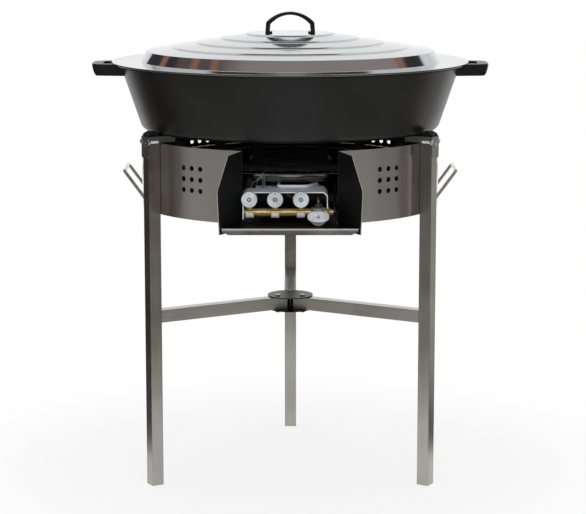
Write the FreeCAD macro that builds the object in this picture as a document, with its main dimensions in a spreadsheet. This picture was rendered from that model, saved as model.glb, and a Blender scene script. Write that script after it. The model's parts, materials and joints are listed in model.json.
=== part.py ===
import FreeCAD, Part
import math
import os
import re
import Sketcher
from FreeCAD import Placement, Rotation, Vector

# Three-legged gas burner stand with a round wind shield, a triple ring burner, a deep pan and its lid.
# Frame: millimetres, +Z up, origin on the floor below the stand's axis, controls towards -Y.

# Driving dimensions: name, value, meaning
SIZES = [
    ("tube", 25.0, "outer width of the square tube of legs and braces"),
    ("tube_wall", 1.5, "wall of the square tube"),
    ("leg_height", 700.0, "floor to the top of a leg"),
    ("brace_top", 356.0, "floor to the upper face of the braces"),
    ("brace_start", 13.5, "axis to the inner end of a brace"),
    ("hub_radius", 46.5, "radius of the two hub discs"),
    ("hub_sheet", 2.0, "thickness of the hub discs"),
    ("hub_bolt_circle", 29.0, "axis to each hub bolt"),
    ("hub_bolt", 6.0, "diameter of the hub bolts"),
    ("shield_radius", 300.0, "outer radius of the wind shield"),
    ("shield_sheet", 1.5, "sheet of shield, bottom plate and hood"),
    ("shield_drop", 11.5, "leg top down to the shield's upper edge"),
    ("shield_height", 140.0, "height of the shield"),
    ("shield_rim", 14.0, "width of the inward rim that carries the bottom plate"),
    ("shield_bolt", 6.0, "diameter of the bolts from shield to legs"),
    ("shield_bolt_inset", 30.0, "shield edge to each bolt"),
    ("opening_half", 91.6, "half width of the control opening in the shield"),
    ("vent_radius", 5.0, "radius of a vent hole"),
    ("vent_pitch", 21.3, "vent hole to vent hole"),
    ("vent_rise", 78.5, "shield's lower edge to the middle row of vents"),
    ("vent_front_angle", 39.0, "front vent groups, degrees from the front"),
    ("vent_rear_angle", 40.5, "rear vent groups, degrees from the back"),
    ("arm_sheet", 2.0, "sheet of the pan support arms"),
    ("arm_depth", 17.0, "depth of an arm's sides beside the leg"),
    ("arm_inner_depth", 12.0, "depth of an arm's sides under the pan"),
    ("arm_flap", 42.0, "length of the flap down the leg's outer face"),
    ("arm_start", 20.0, "axis to the inner end of an arm"),
    ("arm_side_start", 62.0, "axis to the start of an arm's sides"),
    ("arm_bolt", 8.0, "diameter of the bolt from arm to leg"),
    ("arm_bolt_drop", 13.0, "leg top to the arm's bolt"),
    ("arm_plate_radius", 54.0, "radius of the plate that joins the arms"),
    ("side_clearance", 0.2, "gap between an arm's side and the leg"),
    ("stop_height", 9.0, "height of a pan stop above its arm"),
    ("stop_inset", 2.5, "leg's inner face to a pan stop's inner face"),
    ("stop_width", 22.0, "width of a pan stop"),
    ("handle_rod", 6.5, "diameter of the side handles' rod"),
    ("handle_width", 110.0, "side handle, centre to centre of its legs"),
    ("handle_depth", 32.6, "shield to the side handle's grip"),
    ("handle_inset", 20.5, "shield's lower edge to the side handle's roots"),
    ("handle_rise", 51.5, "side handle's roots up to its grip"),
    ("hood_reach", 61.6, "shield to the foremost point of the hood cheeks"),
    ("hood_splay", 44.7, "widening of the hood on each side"),
    ("hood_foot_drop", 9.5, "shield's lower edge down to the hood's lower edge"),
    ("hood_foot_length", 22.0, "length of the level foot below a cheek"),
    ("hood_foot_set", 6.5, "setback of a cheek's foot behind its foremost point"),
    ("hood_brow", 50.0, "length of a cheek's upper edge"),
    ("hood_brow_drop", 4.5, "fall of a cheek's upper edge"),
    ("hood_elbow_drop", 67.5, "shield's upper edge to the top of a cheek's upright front edge"),
    ("hood_tab", 14.0, "width of the tab that fixes a cheek to the shield"),
    ("hood_lap", 24.0, "overlap of the hood floor below the bottom plate"),
    ("lip_setback", 10.6, "cheek's foremost point to the lip's face"),
    ("lip_height", 12.0, "height of the hood's front lip"),
    ("ring_drop", 65.0, "leg top down to the centre of the burner rings"),
    ("ring_tube", 20.0, "tube diameter of the burner rings"),
    ("ring_margin", 50.0, "shield to the centre line of the outer burner ring"),
    ("ring_middle", 160.0, "radius of the middle burner ring"),
    ("ring_inner", 75.0, "radius of the inner burner ring"),
    ("hanger_sheet", 4.0, "thickness of a ring hanger"),
    ("hanger_width", 22.0, "width of a ring hanger along its arm"),
    ("tap_drop", 32.5, "burner rings down to the tap axes"),
    ("tap_pitch", 48.5, "tap to tap"),
    ("tap_left", -76.5, "X of the left tap"),
    ("tap_barrel", 16.0, "diameter of a tap barrel"),
    ("stem", 6.0, "diameter of a tap stem"),
    ("mixing_tube", 20.0, "diameter of the mixing tubes"),
    ("mixing_wall", 1.5, "wall of the mixing tubes"),
    ("mixing_bend", 24.0, "bend radius of the mixing tubes"),
    ("injector_reach", 30.0, "manifold to the mouths of the mixing tubes"),
    ("manifold", 15.2, "diameter of the gas manifold"),
    ("neck_length", 29.5, "tap axes down to the manifold"),
    ("manifold_setback", 4.0, "shield's outside to the manifold's centre"),
    ("manifold_end", 2.9, "safety valve to the manifold's right end"),
    ("inlet_length", 12.0, "length of the hose inlet"),
    ("clamp_sheet", 3.0, "thickness of a manifold clamp"),
    ("clamp_width", 15.0, "width of a manifold clamp"),
    ("knob_radius", 15.0, "radius of a burner knob"),
    ("knob_stand", 22.0, "manifold to the back of the burner knobs"),
    ("knob_depth", 18.0, "depth of a burner knob"),
    ("canopy_left_margin", 13.0, "left tap to the canopy's left face"),
    ("canopy_right_margin", 18.4, "safety valve to the canopy's right face"),
    ("canopy_sheet", 2.0, "sheet of the canopy over the taps"),
    ("canopy_depth", 90.0, "depth of the canopy from front to back"),
    ("canopy_corner", 12.0, "outer corner radius of the canopy"),
    ("canopy_left_drop", 52.5, "height of the canopy's left side"),
    ("canopy_right_drop", 31.5, "height of the canopy's right side"),
    ("valve_gap", 32.6, "right tap to the safety valve"),
    ("valve_radius", 14.0, "radius of the safety valve's body"),
    ("valve_below", 18.0, "manifold's centre down to the valve's bottom"),
    ("valve_above", 10.0, "manifold's centre up to the valve's top"),
    ("valve_cup", 15.0, "radius of the round housing behind the main knob"),
    ("valve_offset", 10.0, "valve's centre in front of the manifold's"),
    ("boss_length", 16.0, "valve's centre to the front of its boss"),
    ("valve_stem_drop", 2.6, "manifold's centre down to the main knob's axis"),
    ("main_knob_width", 41.6, "width of the oval main knob"),
    ("main_knob_height", 21.6, "height of the oval main knob"),
    ("main_knob_depth", 12.0, "depth of the main knob"),
    ("button_clearance", 1.0, "gap behind the main knob when it is pushed in"),
    ("button_travel", 4.0, "push-in travel of the main knob"),
    ("bore_clearance", 0.05, "radial gap of a stem in its bore"),
    ("pan_clearance", 5.0, "pan stops to the corner of the pan's bottom"),
    ("pan_flare", 45.5, "widening of the pan from bottom to rim"),
    ("pan_height", 134.0, "height of the pan"),
    ("pan_wall", 4.0, "wall of the pan"),
    ("pan_bottom", 6.0, "thickness of the pan's bottom"),
    ("pan_corner", 17.0, "outer corner radius between bottom and wall"),
    ("pan_flange_width", 9.0, "width of the pan's flat rim outside its wall"),
    ("pan_flange_sheet", 5.0, "thickness of the pan's rim"),
    ("ear_length", 45.0, "pan rim to the outer side of an ear"),
    ("ear_width", 106.0, "width of a pan ear"),
    ("ear_height", 23.0, "height of a pan ear"),
    ("ear_bar", 21.0, "width of a pan ear's grip"),
    ("ear_slot", 64.0, "length of the finger slot in a pan ear"),
    ("ear_slot_width", 22.0, "width of the finger slot in a pan ear"),
    ("ear_drop", 2.6, "pan rim to the top of an ear"),
    ("ear_corner", 27.0, "corner radius of a pan ear"),
    ("ear_taper", 5.0, "narrowing of each side of an ear from its middle to its end"),
    ("ear_draft", 6.0, "lean of an ear's outer face"),
    ("ear_heel", 4.0, "bevel below an ear's outer face"),
    ("rest_gap", 0.2, "gap below the pan and below the lid"),
    ("lid_overhang", 6.0, "pan rim to the lid's edge"),
    ("lid_sheet", 1.5, "sheet of the lid"),
    ("lid_flange_width", 57.0, "width of the lid's flat rim"),
    ("lid_shoulder_inset", 13.0, "foot of the lid's steep wall to its top"),
    ("lid_shoulder_height", 22.5, "height of the shoulder above the flat rim"),
    ("lid_plateau", 88.0, "radius of the lid's flat top"),
    ("lid_top", 56.5, "height of the lid's flat top above its rim"),
    ("lid_riser", 2.6, "height of each step in the lid"),
    ("lid_hem", 2.0, "depth of the lid's turned-down edge"),
    ("grip_half", 50.0, "half width of the lid handle"),
    ("grip_side", 21.0, "height of the lid handle's straight sides"),
    ("grip_bar", 9.0, "thickness of the lid handle at its sides"),
    ("grip_apex", 66.0, "height where the handle's outer slopes would meet"),
    ("grip_arch", 66.0, "outer radius of the handle's crown"),
    ("grip_inner_apex", 52.5, "height where the handle's inner slopes would meet"),
    ("grip_inner_arch", 49.5, "inner radius of the handle's crown"),
    ("grip_foot", 14.0, "length of each foot of the lid handle"),
    ("grip_width", 22.0, "width of the lid handle's strap"),
    ("grip_screw", 5.0, "diameter of the lid handle's screws"),
]
# Places worked out from the driving dimensions
PLACES = {
    "shield_top": "leg_height - shield_drop",
    "shield_bottom": "shield_top - shield_height",
    "vent_height": "shield_bottom + vent_rise",
    "opening_depth": "sqrt(shield_radius ^ 2 - opening_half ^ 2)",
    "hood_front": "shield_radius + hood_reach",
    "hood_half": "opening_half + hood_splay",
    "hood_foot": "shield_bottom - hood_foot_drop",
    "hood_elbow": "shield_top - hood_elbow_drop",
    "handle_reach": "shield_radius + handle_depth",
    "handle_root": "shield_bottom + handle_inset",
    "handle_top": "handle_root + handle_rise",
    "ring_height": "leg_height - ring_drop",
    "ring_outer": "shield_radius - ring_margin",
    "tap_height": "ring_height - tap_drop",
    "manifold_height": "tap_height - neck_length",
    "manifold_depth": "shield_radius - manifold_setback",
    "manifold_right": "valve_x + valve_radius + manifold_end",
    "mixing_mouth": "manifold_depth - injector_reach",
    "knob_back": "manifold_depth + knob_stand",
    "valve_x": "tap_left + 2 * tap_pitch + valve_gap",
    "valve_bottom": "manifold_height - valve_below",
    "valve_top": "manifold_height + valve_above",
    "valve_depth": "manifold_depth + valve_offset",
    "valve_boss": "valve_depth + boss_length",
    "valve_stem_height": "manifold_height - valve_stem_drop",
    "valve_cup_height": "shield_bottom + shield_sheet + valve_cup + button_clearance",
    "main_knob_back": "valve_boss + button_travel + button_clearance",
    "canopy_left": "tap_left - canopy_left_margin",
    "canopy_right": "valve_x + canopy_right_margin",
    "canopy_top": "tap_height + mixing_tube / 2 + canopy_sheet",
    "canopy_front": "knob_back - canopy_sheet",
    "canopy_back": "canopy_front - canopy_depth",
    "arm_top": "leg_height + arm_sheet",
    "stop_inner": "shield_radius + stop_inset",
    "pan_base": "arm_top + rest_gap",
    "pan_top": "pan_base + pan_height",
    "pan_bottom_radius": "stop_inner - pan_clearance",
    "pan_rim_radius": "pan_bottom_radius + pan_flare",
    "pan_flange": "pan_rim_radius + pan_flange_width",
    "ear_reach": "pan_flange + ear_length",
    "ear_top": "pan_top - ear_drop",
    "lid_base": "pan_top + rest_gap",
    "lid_rim": "pan_flange + lid_overhang",
    "lid_flange": "lid_rim - lid_flange_width",
    "lid_shoulder": "lid_flange - lid_shoulder_inset",
}

TIERS = 4
LEGS = [(side, math.degrees(math.pi / 2 + turn * math.tau / 3))
        for side, turn in (("left", 1), ("right", 2), ("rear", 0))]
TAPS = [("left", 0), ("centre", 1), ("right", 2)]
UP = Vector(0, 0, 1)
FRONT = Vector(0, -1, 0)
RIGHT = Vector(1, 0, 0)
SHIELD_BOLT_HEIGHTS = ("shield_bottom + shield_bolt_inset", "shield_top - shield_bolt_inset")

doc = FreeCAD.newDocument("burner_stand")
sheet = doc.addObject("Spreadsheet::Sheet", "Sizes")
for row, (alias, size, meaning) in enumerate(SIZES, start=1):
    sheet.set(f"A{row}", meaning)
    sheet.set(f"B{row}", str(size))
    sheet.setAlias(f"B{row}", alias)
doc.recompute()
ALIASES = {alias for alias, size, meaning in SIZES}
sub_parts = []


def formula(text):
    """The same formula with every place written out and every size's name pointing at its cell."""
    def cell(match):
        word = match.group()
        if word in PLACES:
            return f"({formula(PLACES[word])})"
        return "Sizes." + word if word in ALIASES else word
    return re.sub(r"[a-z]+(_[a-z]+)*", cell, str(text))


def value(text):
    """The formula's value in millimetres or degrees."""
    return float(sheet.evalExpression(formula(text)))


def bind(target, **properties):
    """Tie properties of a document object to formulas."""
    for name, text in properties.items():
        target.setExpression(name, formula(text))
    return target


def keep(target, label, angle=0.0):
    """Name a finished sub-part and turn it about the stand's axis."""
    target.Label = label
    target.Placement = Placement(Vector(), Rotation(UP, angle))
    sub_parts.append(target)
    return target


def keep_facing_front(body, label, across, depth, height):
    """Name a body modelled along +Z and lay it so that +Z points to the front."""
    body.Label = label
    body.Placement = Placement(Vector(), Rotation(Vector(1, 0, 0), 90))
    for axis, text in (("x", across), ("y", depth), ("z", height)):
        body.setExpression(f"Placement.Base.{axis}", formula(text))
    sub_parts.append(body)
    return body


def new_body(name):
    return doc.addObject("PartDesign::Body", "body_" + name)


def new_sketch(body, plane, offset="0"):
    """Empty sketch on one of the body's origin planes, moved along the plane's normal."""
    sketch = body.newObject("Sketcher::SketchObject", body.Name + "_sketch")
    support = [feature for feature in body.Origin.OriginFeatures if feature.Role == plane][0]
    sketch.AttachmentSupport = (support, "")
    sketch.MapMode = "FlatFace"
    sketch.setExpression("AttachmentOffset.Base.z", formula(offset))
    return sketch


def upright_sketch(body, spot, heading):
    """Sketch on an upright plane through a spot in plan; its first axis runs along the heading."""
    sketch = new_sketch(body, "XZ_Plane")
    sketch.AttachmentOffset = Placement(Vector(), Rotation(Vector(0, 1, 0), heading))
    sketch.setExpression("AttachmentOffset.Base.x", formula(spot[0]))
    sketch.setExpression("AttachmentOffset.Base.z", formula(f"-({spot[1]})"))
    return sketch


def pin_point(sketch, geometry, position, across, up):
    """Hold a point of the sketch at two distances from its origin."""
    for kind, text in (("DistanceX", across), ("DistanceY", up)):
        index = sketch.addConstraint(
            Sketcher.Constraint(kind, -1, 1, geometry, position, value(text)))
        sketch.setExpression(f"Constraints[{index}]", formula(text))


def outline(sketch, corners):
    """Closed outline; each corner is (across, up) or (across, up, corner radius)."""
    spots = [Vector(value(corner[0]), value(corner[1]), 0) for corner in corners]
    count = len(spots)
    lines = []
    for index in range(count):
        segment = Part.LineSegment(spots[index], spots[(index + 1) % count])
        lines.append(sketch.addGeometry(segment, False))
    for index in range(count):
        following = lines[(index + 1) % count]
        sketch.addConstraint(Sketcher.Constraint("Coincident", lines[index], 2, following, 1))
    for index, corner in enumerate(corners):
        pin_point(sketch, lines[index], 1, corner[0], corner[1])
    for index, corner in enumerate(corners):
        if len(corner) == 3:
            before = (spots[index - 1] + spots[index]) / 2
            after = (spots[index] + spots[(index + 1) % count]) / 2
            arc = sketch.GeometryCount
            sketch.fillet(lines[index - 1], lines[index], before, after, value(corner[2]), True, True)
            bound = sketch.addConstraint(Sketcher.Constraint("Radius", arc, value(corner[2])))
            sketch.setExpression(f"Constraints[{bound}]", formula(corner[2]))
    return sketch


def box_outline(sketch, left, bottom, right, top):
    return outline(sketch, [(left, bottom), (right, bottom), (right, top), (left, top)])


def circle(sketch, across, up, radius):
    centre = Vector(value(across), value(up), 0)
    ring = sketch.addGeometry(Part.Circle(centre, UP, value(radius)), False)
    bound = sketch.addConstraint(Sketcher.Constraint("Radius", ring, value(radius)))
    sketch.setExpression(f"Constraints[{bound}]", formula(radius))
    pin_point(sketch, ring, 3, across, up)
    return sketch


def pad(body, sketch, length, reverse=False, middle=False):
    feature = body.newObject("PartDesign::Pad", body.Name + "_pad")
    feature.Profile = sketch
    feature.Reversed = reverse
    feature.Midplane = middle
    return bind(feature, Length=length)


def pocket(body, sketch, length, reverse=False, middle=False):
    """Cut that must take material away."""
    doc.recompute()
    before = body.Shape.Volume
    faces = len(body.Shape.Faces)
    feature = body.newObject("PartDesign::Pocket", body.Name + "_pocket")
    feature.Profile = sketch
    feature.Reversed = reverse
    feature.Midplane = middle
    bind(feature, Length=length)
    doc.recompute()
    if body.Shape.Volume > before - 0.01 and len(body.Shape.Faces) == faces:
        raise ValueError("pocket cuts nothing in " + body.Name)
    return feature


def revolve(body, sketch, kind="PartDesign::Revolution"):
    """Turn a sketch of the XZ plane about the vertical axis."""
    feature = body.newObject(kind, body.Name + "_turned")
    feature.Profile = sketch
    feature.ReferenceAxis = (sketch, ["V_Axis"])
    feature.Angle = 360
    return feature


def turned(label, corners):
    """Body of revolution about the stand's axis from one half profile."""
    body = new_body(label)
    revolve(body, outline(new_sketch(body, "XZ_Plane"), corners))
    return body


def cylinder(name, radius, length, start, direction):
    """Part cylinder; start is three formulas, direction a vector."""
    solid = bind(doc.addObject("Part::Cylinder", name), Radius=radius, Height=length)
    solid.Placement = Placement(Vector(), Rotation(UP, direction))
    for axis, text in zip("xyz", start):
        solid.setExpression(f"Placement.Base.{axis}", formula(text))
    return solid


def block(name, low, size):
    """Part box from its low corner and its three sizes."""
    solid = bind(doc.addObject("Part::Box", name), Length=size[0], Width=size[1], Height=size[2])
    for axis, text in zip("xyz", low):
        solid.setExpression(f"Placement.Base.{axis}", formula(text))
    return solid


def cut(name, base, tool):
    feature = doc.addObject("Part::Cut", name)
    feature.Base = base
    feature.Tool = tool
    return feature


def fuse(name, pieces):
    feature = doc.addObject("Part::MultiFuse", name)
    feature.Shapes = pieces
    return feature


def group(name, pieces):
    """Several separate solids kept as one sub-part."""
    feature = doc.addObject("Part::Compound", name)
    feature.Links = pieces
    return feature


def burner_torus(name, radius):
    solid = bind(doc.addObject("Part::Torus", name), Radius1=radius, Radius2="ring_tube / 2")
    solid.setExpression("Placement.Base.z", formula("ring_height"))
    return solid


def bent_rod(points, bend, radius):
    """Round rod along straight runs joined by arcs of one bend radius."""
    edges = []
    start = points[0]
    for index in range(1, len(points) - 1):
        corner = points[index]
        arriving = (corner - points[index - 1]).normalize()
        leaving = (points[index + 1] - corner).normalize()
        turn = arriving.getAngle(leaving)
        setback = bend * math.tan(turn / 2)
        first = corner - arriving * setback
        last = corner + leaving * setback
        towards = (leaving - arriving).normalize()
        centre = corner + towards * (bend / math.cos(turn / 2))
        middle = centre - towards * bend
        edges.append(Part.LineSegment(start, first).toShape())
        edges.append(Part.Arc(first, middle, last).toShape())
        start = last
    edges.append(Part.LineSegment(start, points[-1]).toShape())
    path = Part.Wire(edges)
    section = Part.Wire([Part.Circle(points[0], points[1] - points[0], radius).toShape()])
    return path.makePipeShell([section], True, False)


def shaped(name, shape):
    feature = doc.addObject("Part::Feature", name)
    feature.Shape = shape
    return feature


# Frame: legs, braces and hub

def make_leg(side, angle):
    """Square tube with a hole for the arm bolt and two in its inner wall for the shield."""
    body = new_body("leg_" + side)
    section = new_sketch(body, "XY_Plane")
    box_outline(section, "shield_radius", "-tube / 2", "shield_radius + tube", "tube / 2")
    box_outline(section, "shield_radius + tube_wall", "tube_wall - tube / 2",
                "shield_radius + tube - tube_wall", "tube / 2 - tube_wall")
    pad(body, section, "leg_height")
    bolt_hole = new_sketch(body, "YZ_Plane", "shield_radius + tube / 2")
    circle(bolt_hole, "0", "leg_height - arm_bolt_drop", "arm_bolt / 2")
    pocket(body, bolt_hole, "tube", reverse=True)
    shield_holes = new_sketch(body, "YZ_Plane", "shield_radius - 1")
    for height in SHIELD_BOLT_HEIGHTS:
        circle(shield_holes, "0", height, "shield_bolt / 2")
    pocket(body, shield_holes, "tube_wall + 2", reverse=True)
    keep(body, "leg_" + side, angle)


def make_end_plugs():
    """Plastic plug inside the foot of each leg, flush with the tube's end."""
    plugs = []
    for side, angle in LEGS:
        plug = block("plug_" + side, ("shield_radius + tube_wall", "tube_wall - tube / 2", "0"),
                     ("tube - 2 * tube_wall", "tube - 2 * tube_wall", "tube / 2"))
        placed = group("plug_placed_" + side, [plug])
        placed.Placement = Placement(Vector(), Rotation(UP, angle))
        plugs.append(placed)
    keep(group("end_plugs", plugs), "leg_end_plugs")


def make_brace(side, angle):
    """Square tube from the hub to the inner face of a leg."""
    body = new_body("brace_" + side)
    section = new_sketch(body, "YZ_Plane", "brace_start")
    box_outline(section, "-tube / 2", "brace_top - tube", "tube / 2", "brace_top")
    box_outline(section, "tube_wall - tube / 2", "brace_top - tube + tube_wall",
                "tube / 2 - tube_wall", "brace_top - tube_wall")
    pad(body, section, "shield_radius - brace_start")
    bolt_hole = new_sketch(body, "XY_Plane", "brace_top + 1")
    circle(bolt_hole, "hub_bolt_circle", "0", "hub_bolt / 2")
    pocket(body, bolt_hole, "tube + 2")
    keep(body, "brace_" + side, angle)


def spokes(radius):
    """Plan formulas of one spot on each leg's radius."""
    return [(f"{radius} * cos({angle} deg)", f"{radius} * sin({angle} deg)") for side, angle in LEGS]


def make_hub_disc(name, height):
    body = new_body(name)
    pad(body, circle(new_sketch(body, "XY_Plane", height), "0", "0", "hub_radius"), "hub_sheet")
    holes = new_sketch(body, "XY_Plane", height)
    for across, up in spokes("hub_bolt_circle"):
        circle(holes, across, up, "hub_bolt / 2")
    pocket(body, holes, "hub_sheet", reverse=True)
    keep(body, name)


def hexagon(name, corner_radius, height, start, direction=UP):
    prism = bind(doc.addObject("Part::Prism", name), Circumradius=corner_radius, Height=height)
    prism.Polygon = 6
    prism.Placement = Placement(Vector(), Rotation(UP, direction))
    for axis, text in zip("xyz", start):
        prism.setExpression(f"Placement.Base.{axis}", formula(text))
    return prism


def make_hub_bolts():
    """One bolt through both discs and each brace, with its nut below."""
    under = "brace_top - tube - hub_sheet"
    bolts = []
    nuts = []
    for index, (across, up) in enumerate(spokes("hub_bolt_circle")):
        shank = cylinder(f"hub_shank_{index}", "hub_bolt / 2", "tube + 2 * hub_sheet + hub_bolt",
                         (across, up, under + " - hub_bolt"), UP)
        head = cylinder(f"hub_head_{index}", "hub_bolt * 0.85", "hub_bolt * 0.4",
                        (across, up, "brace_top + hub_sheet"), UP)
        bolts.append(fuse(f"hub_bolt_{index}", [shank, head]))
        nut = hexagon(f"hub_nut_{index}", "hub_bolt * 0.95", "hub_bolt * 0.8",
                      (across, up, under + " - hub_bolt * 0.8"))
        bore = cylinder(f"hub_nut_bore_{index}", "hub_bolt / 2", "hub_bolt",
                        (across, up, under + " - hub_bolt"), UP)
        nuts.append(cut(f"hub_nut_bored_{index}", nut, bore))
    keep(group("hub_bolt_group", bolts), "hub_bolts")
    keep(group("hub_nut_group", nuts), "hub_nuts")


# Pan support: three folded arms on the leg tops

def make_arm(side, angle):
    """Upturned channel over the leg top, its end folded down the leg's outer face."""
    body = new_body("arm_" + side)
    half = "(tube / 2 + side_clearance + arm_sheet)"
    end = "(shield_radius + tube + arm_sheet)"
    web = new_sketch(body, "XY_Plane", "leg_height")
    box_outline(web, "arm_start", f"-{half}", end, half)
    pad(body, web, "arm_sheet")
    for offset in (half, "(-tube / 2 - side_clearance)"):
        side_wall = new_sketch(body, "XZ_Plane", offset + " - arm_sheet")
        outline(side_wall, [
            ("arm_side_start", "arm_top"),
            ("arm_side_start + arm_inner_depth", "arm_top - arm_inner_depth", "arm_sheet"),
            ("shield_radius + 1", "arm_top - arm_inner_depth"),
            ("shield_radius + 3", "arm_top - arm_depth", "arm_sheet / 2"),
            (end, "arm_top - arm_depth"),
            (end, "arm_top"),
        ])
        pad(body, side_wall, "arm_sheet")
    flap = new_sketch(body, "YZ_Plane", "shield_radius + tube")
    outline(flap, [
        (f"-{half}", "arm_top"),
        (f"-{half}", "arm_top - arm_flap", "arm_sheet * 2"),
        (half, "arm_top - arm_flap", "arm_sheet * 2"),
        (half, "arm_top"),
    ])
    pad(body, flap, "arm_sheet")
    bolt_window = new_sketch(body, "YZ_Plane", "shield_radius + tube - 1")
    circle(bolt_window, "0", "leg_height - arm_bolt_drop", "arm_bolt * 0.75")
    pocket(body, bolt_window, "arm_sheet + 2", reverse=True)
    keep(body, "support_arm_" + side, angle)


def make_arm_plate():
    """Round plate under the arms' inner ends."""
    body = new_body("arm_plate")
    disc = circle(new_sketch(body, "XY_Plane", "leg_height - arm_sheet"), "0", "0", "arm_plate_radius")
    pad(body, disc, "arm_sheet")
    keep(body, "arm_centre_plate")


def make_pan_stop(side, angle):
    """Black block on an arm's outer end, sloped outwards, just outside the pan's wall."""
    body = new_body("stop_" + side)
    profile = new_sketch(body, "XZ_Plane")
    outline(profile, [
        ("stop_inner", "arm_top"),
        ("shield_radius + tube", "arm_top"),
        ("shield_radius + tube", "arm_top + stop_height / 3"),
        ("shield_radius + tube - stop_height", "arm_top + stop_height", "stop_height / 4"),
        ("stop_inner", "arm_top + stop_height"),
    ])
    pad(body, profile, "stop_width", middle=True)
    keep(body, "pan_stop_" + side, angle)


def make_arm_bolts():
    """Bolt in the window of each arm's flap, screwed into the leg."""
    bolts = []
    for side, angle in LEGS:
        height = "leg_height - arm_bolt_drop"
        shank = cylinder("arm_shank_" + side, "arm_bolt / 2", "tube / 2",
                         ("shield_radius + tube / 2", "0", height), RIGHT)
        head = cylinder("arm_head_" + side, "arm_bolt * 0.7", "arm_sheet * 1.5",
                        ("shield_radius + tube", "0", height), RIGHT)
        bolt = fuse("arm_bolt_" + side, [shank, head])
        bolt.Placement = Placement(Vector(), Rotation(UP, angle))
        bolts.append(bolt)
    keep(group("arm_bolt_group", bolts), "arm_bolts")


# Wind shield, bottom plate and hood

def make_shield():
    """Rolled sheet with an inward rim, a control opening in front and four groups of vents."""
    body = turned("shield", [
        ("shield_radius - shield_rim", "shield_bottom"),
        ("shield_radius", "shield_bottom"),
        ("shield_radius", "shield_top"),
        ("shield_radius - shield_sheet", "shield_top"),
        ("shield_radius - shield_sheet", "shield_bottom + shield_sheet"),
        ("shield_radius - shield_rim", "shield_bottom + shield_sheet"),
    ])
    opening = new_sketch(body, "XY_Plane", "shield_top + 1")
    box_outline(opening, "-opening_half", "-shield_radius - 1", "opening_half", "-shield_radius / 2")
    pocket(body, opening, "shield_height + 2")
    column_angle = math.degrees(value("vent_pitch / shield_radius"))
    front = value("vent_front_angle")
    rear = value("vent_rear_angle")
    for middle in (-front, front, 180 - rear, 180 + rear):
        for column in (-1, 0, 1):
            holes = upright_sketch(body, ("0", "0"), middle + column * column_angle)
            for row in (-1, 0, 1):
                circle(holes, "0", f"vent_height + {row} * vent_pitch", "vent_radius")
            pocket(body, holes, "shield_radius + 1", reverse=True)
    for side, angle in LEGS:
        holes = upright_sketch(body, ("0", "0"), angle + 90)
        for height in SHIELD_BOLT_HEIGHTS:
            circle(holes, "0", height, "shield_bolt / 2")
        pocket(body, holes, "shield_radius + 1", reverse=True)
    keep(body, "wind_shield")


def make_shield_bolts():
    """Two bolts per leg, put in from inside the shield."""
    bolts = []
    for side, angle in LEGS:
        for index, height in enumerate(SHIELD_BOLT_HEIGHTS):
            shank = cylinder(f"shield_shank_{side}_{index}", "shield_bolt / 2", "shield_bolt * 2.5",
                             ("shield_radius - shield_bolt", "0", height), RIGHT)
            head = cylinder(f"shield_head_{side}_{index}", "shield_bolt * 0.9", "shield_bolt / 2",
                            ("shield_radius - shield_sheet - shield_bolt / 2 - 0.1", "0", height), RIGHT)
            bolt = fuse(f"shield_bolt_{side}_{index}", [shank, head])
            bolt.Placement = Placement(Vector(), Rotation(UP, angle))
            bolts.append(bolt)
    keep(group("shield_bolt_group", bolts), "shield_bolts")


def make_bottom_plate():
    """Round plate on the shield's rim; it closes the shield from below."""
    body = new_body("bottom_plate")
    disc = circle(new_sketch(body, "XY_Plane", "shield_bottom + shield_sheet"), "0", "0",
                  "shield_radius - shield_sheet - 0.3")
    pad(body, disc, "shield_sheet")
    keep(body, "bottom_plate")




def make_cheek(side, sign):
    """Splayed side of the hood with a tab riveted to the shield's outside."""
    body = new_body("cheek_" + side)
    root_x = value("opening_half")
    root_y = value("opening_depth")
    run_x = value("hood_half") - root_x
    run_y = value("hood_front") - root_y
    length = "sqrt((hood_half - opening_half) ^ 2 + (hood_front - opening_depth) ^ 2)"
    heading = math.degrees(math.atan2(-run_y, sign * run_x))
    plate = upright_sketch(body, (f"{sign} * opening_half", "-opening_depth"), heading)
    outline(plate, [
        ("0", "shield_bottom"),
        (f"{length} - hood_foot_set - hood_foot_length", "hood_foot"),
        (f"{length} - hood_foot_set", "hood_foot"),
        (length, "hood_elbow", "hood_tab"),
        ("hood_brow", "shield_top - hood_brow_drop", "hood_tab / 2"),
        ("0", "shield_top"),
    ])
    pad(body, plate, "shield_sheet", reverse=sign < 0)
    tab_half = value("hood_tab") / 2
    shield = value("shield_radius")
    tab_angle = math.degrees(math.atan2(-root_y, sign * root_x)) + sign * math.degrees(tab_half / shield)
    tab_spot = (f"shield_radius * cos({tab_angle} deg)", f"shield_radius * sin({tab_angle} deg)")
    tab = upright_sketch(body, tab_spot, tab_angle + 90)
    seam = ("shield_sheet", "0") if sign > 0 else ("0", "shield_sheet")
    box_outline(tab, f"-hood_tab / 2 - {seam[0]}", "shield_bottom",
                f"hood_tab / 2 + {seam[1]}", "shield_top")
    pad(body, tab, "shield_sheet")
    keep(body, "hood_cheek_" + side)


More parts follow.
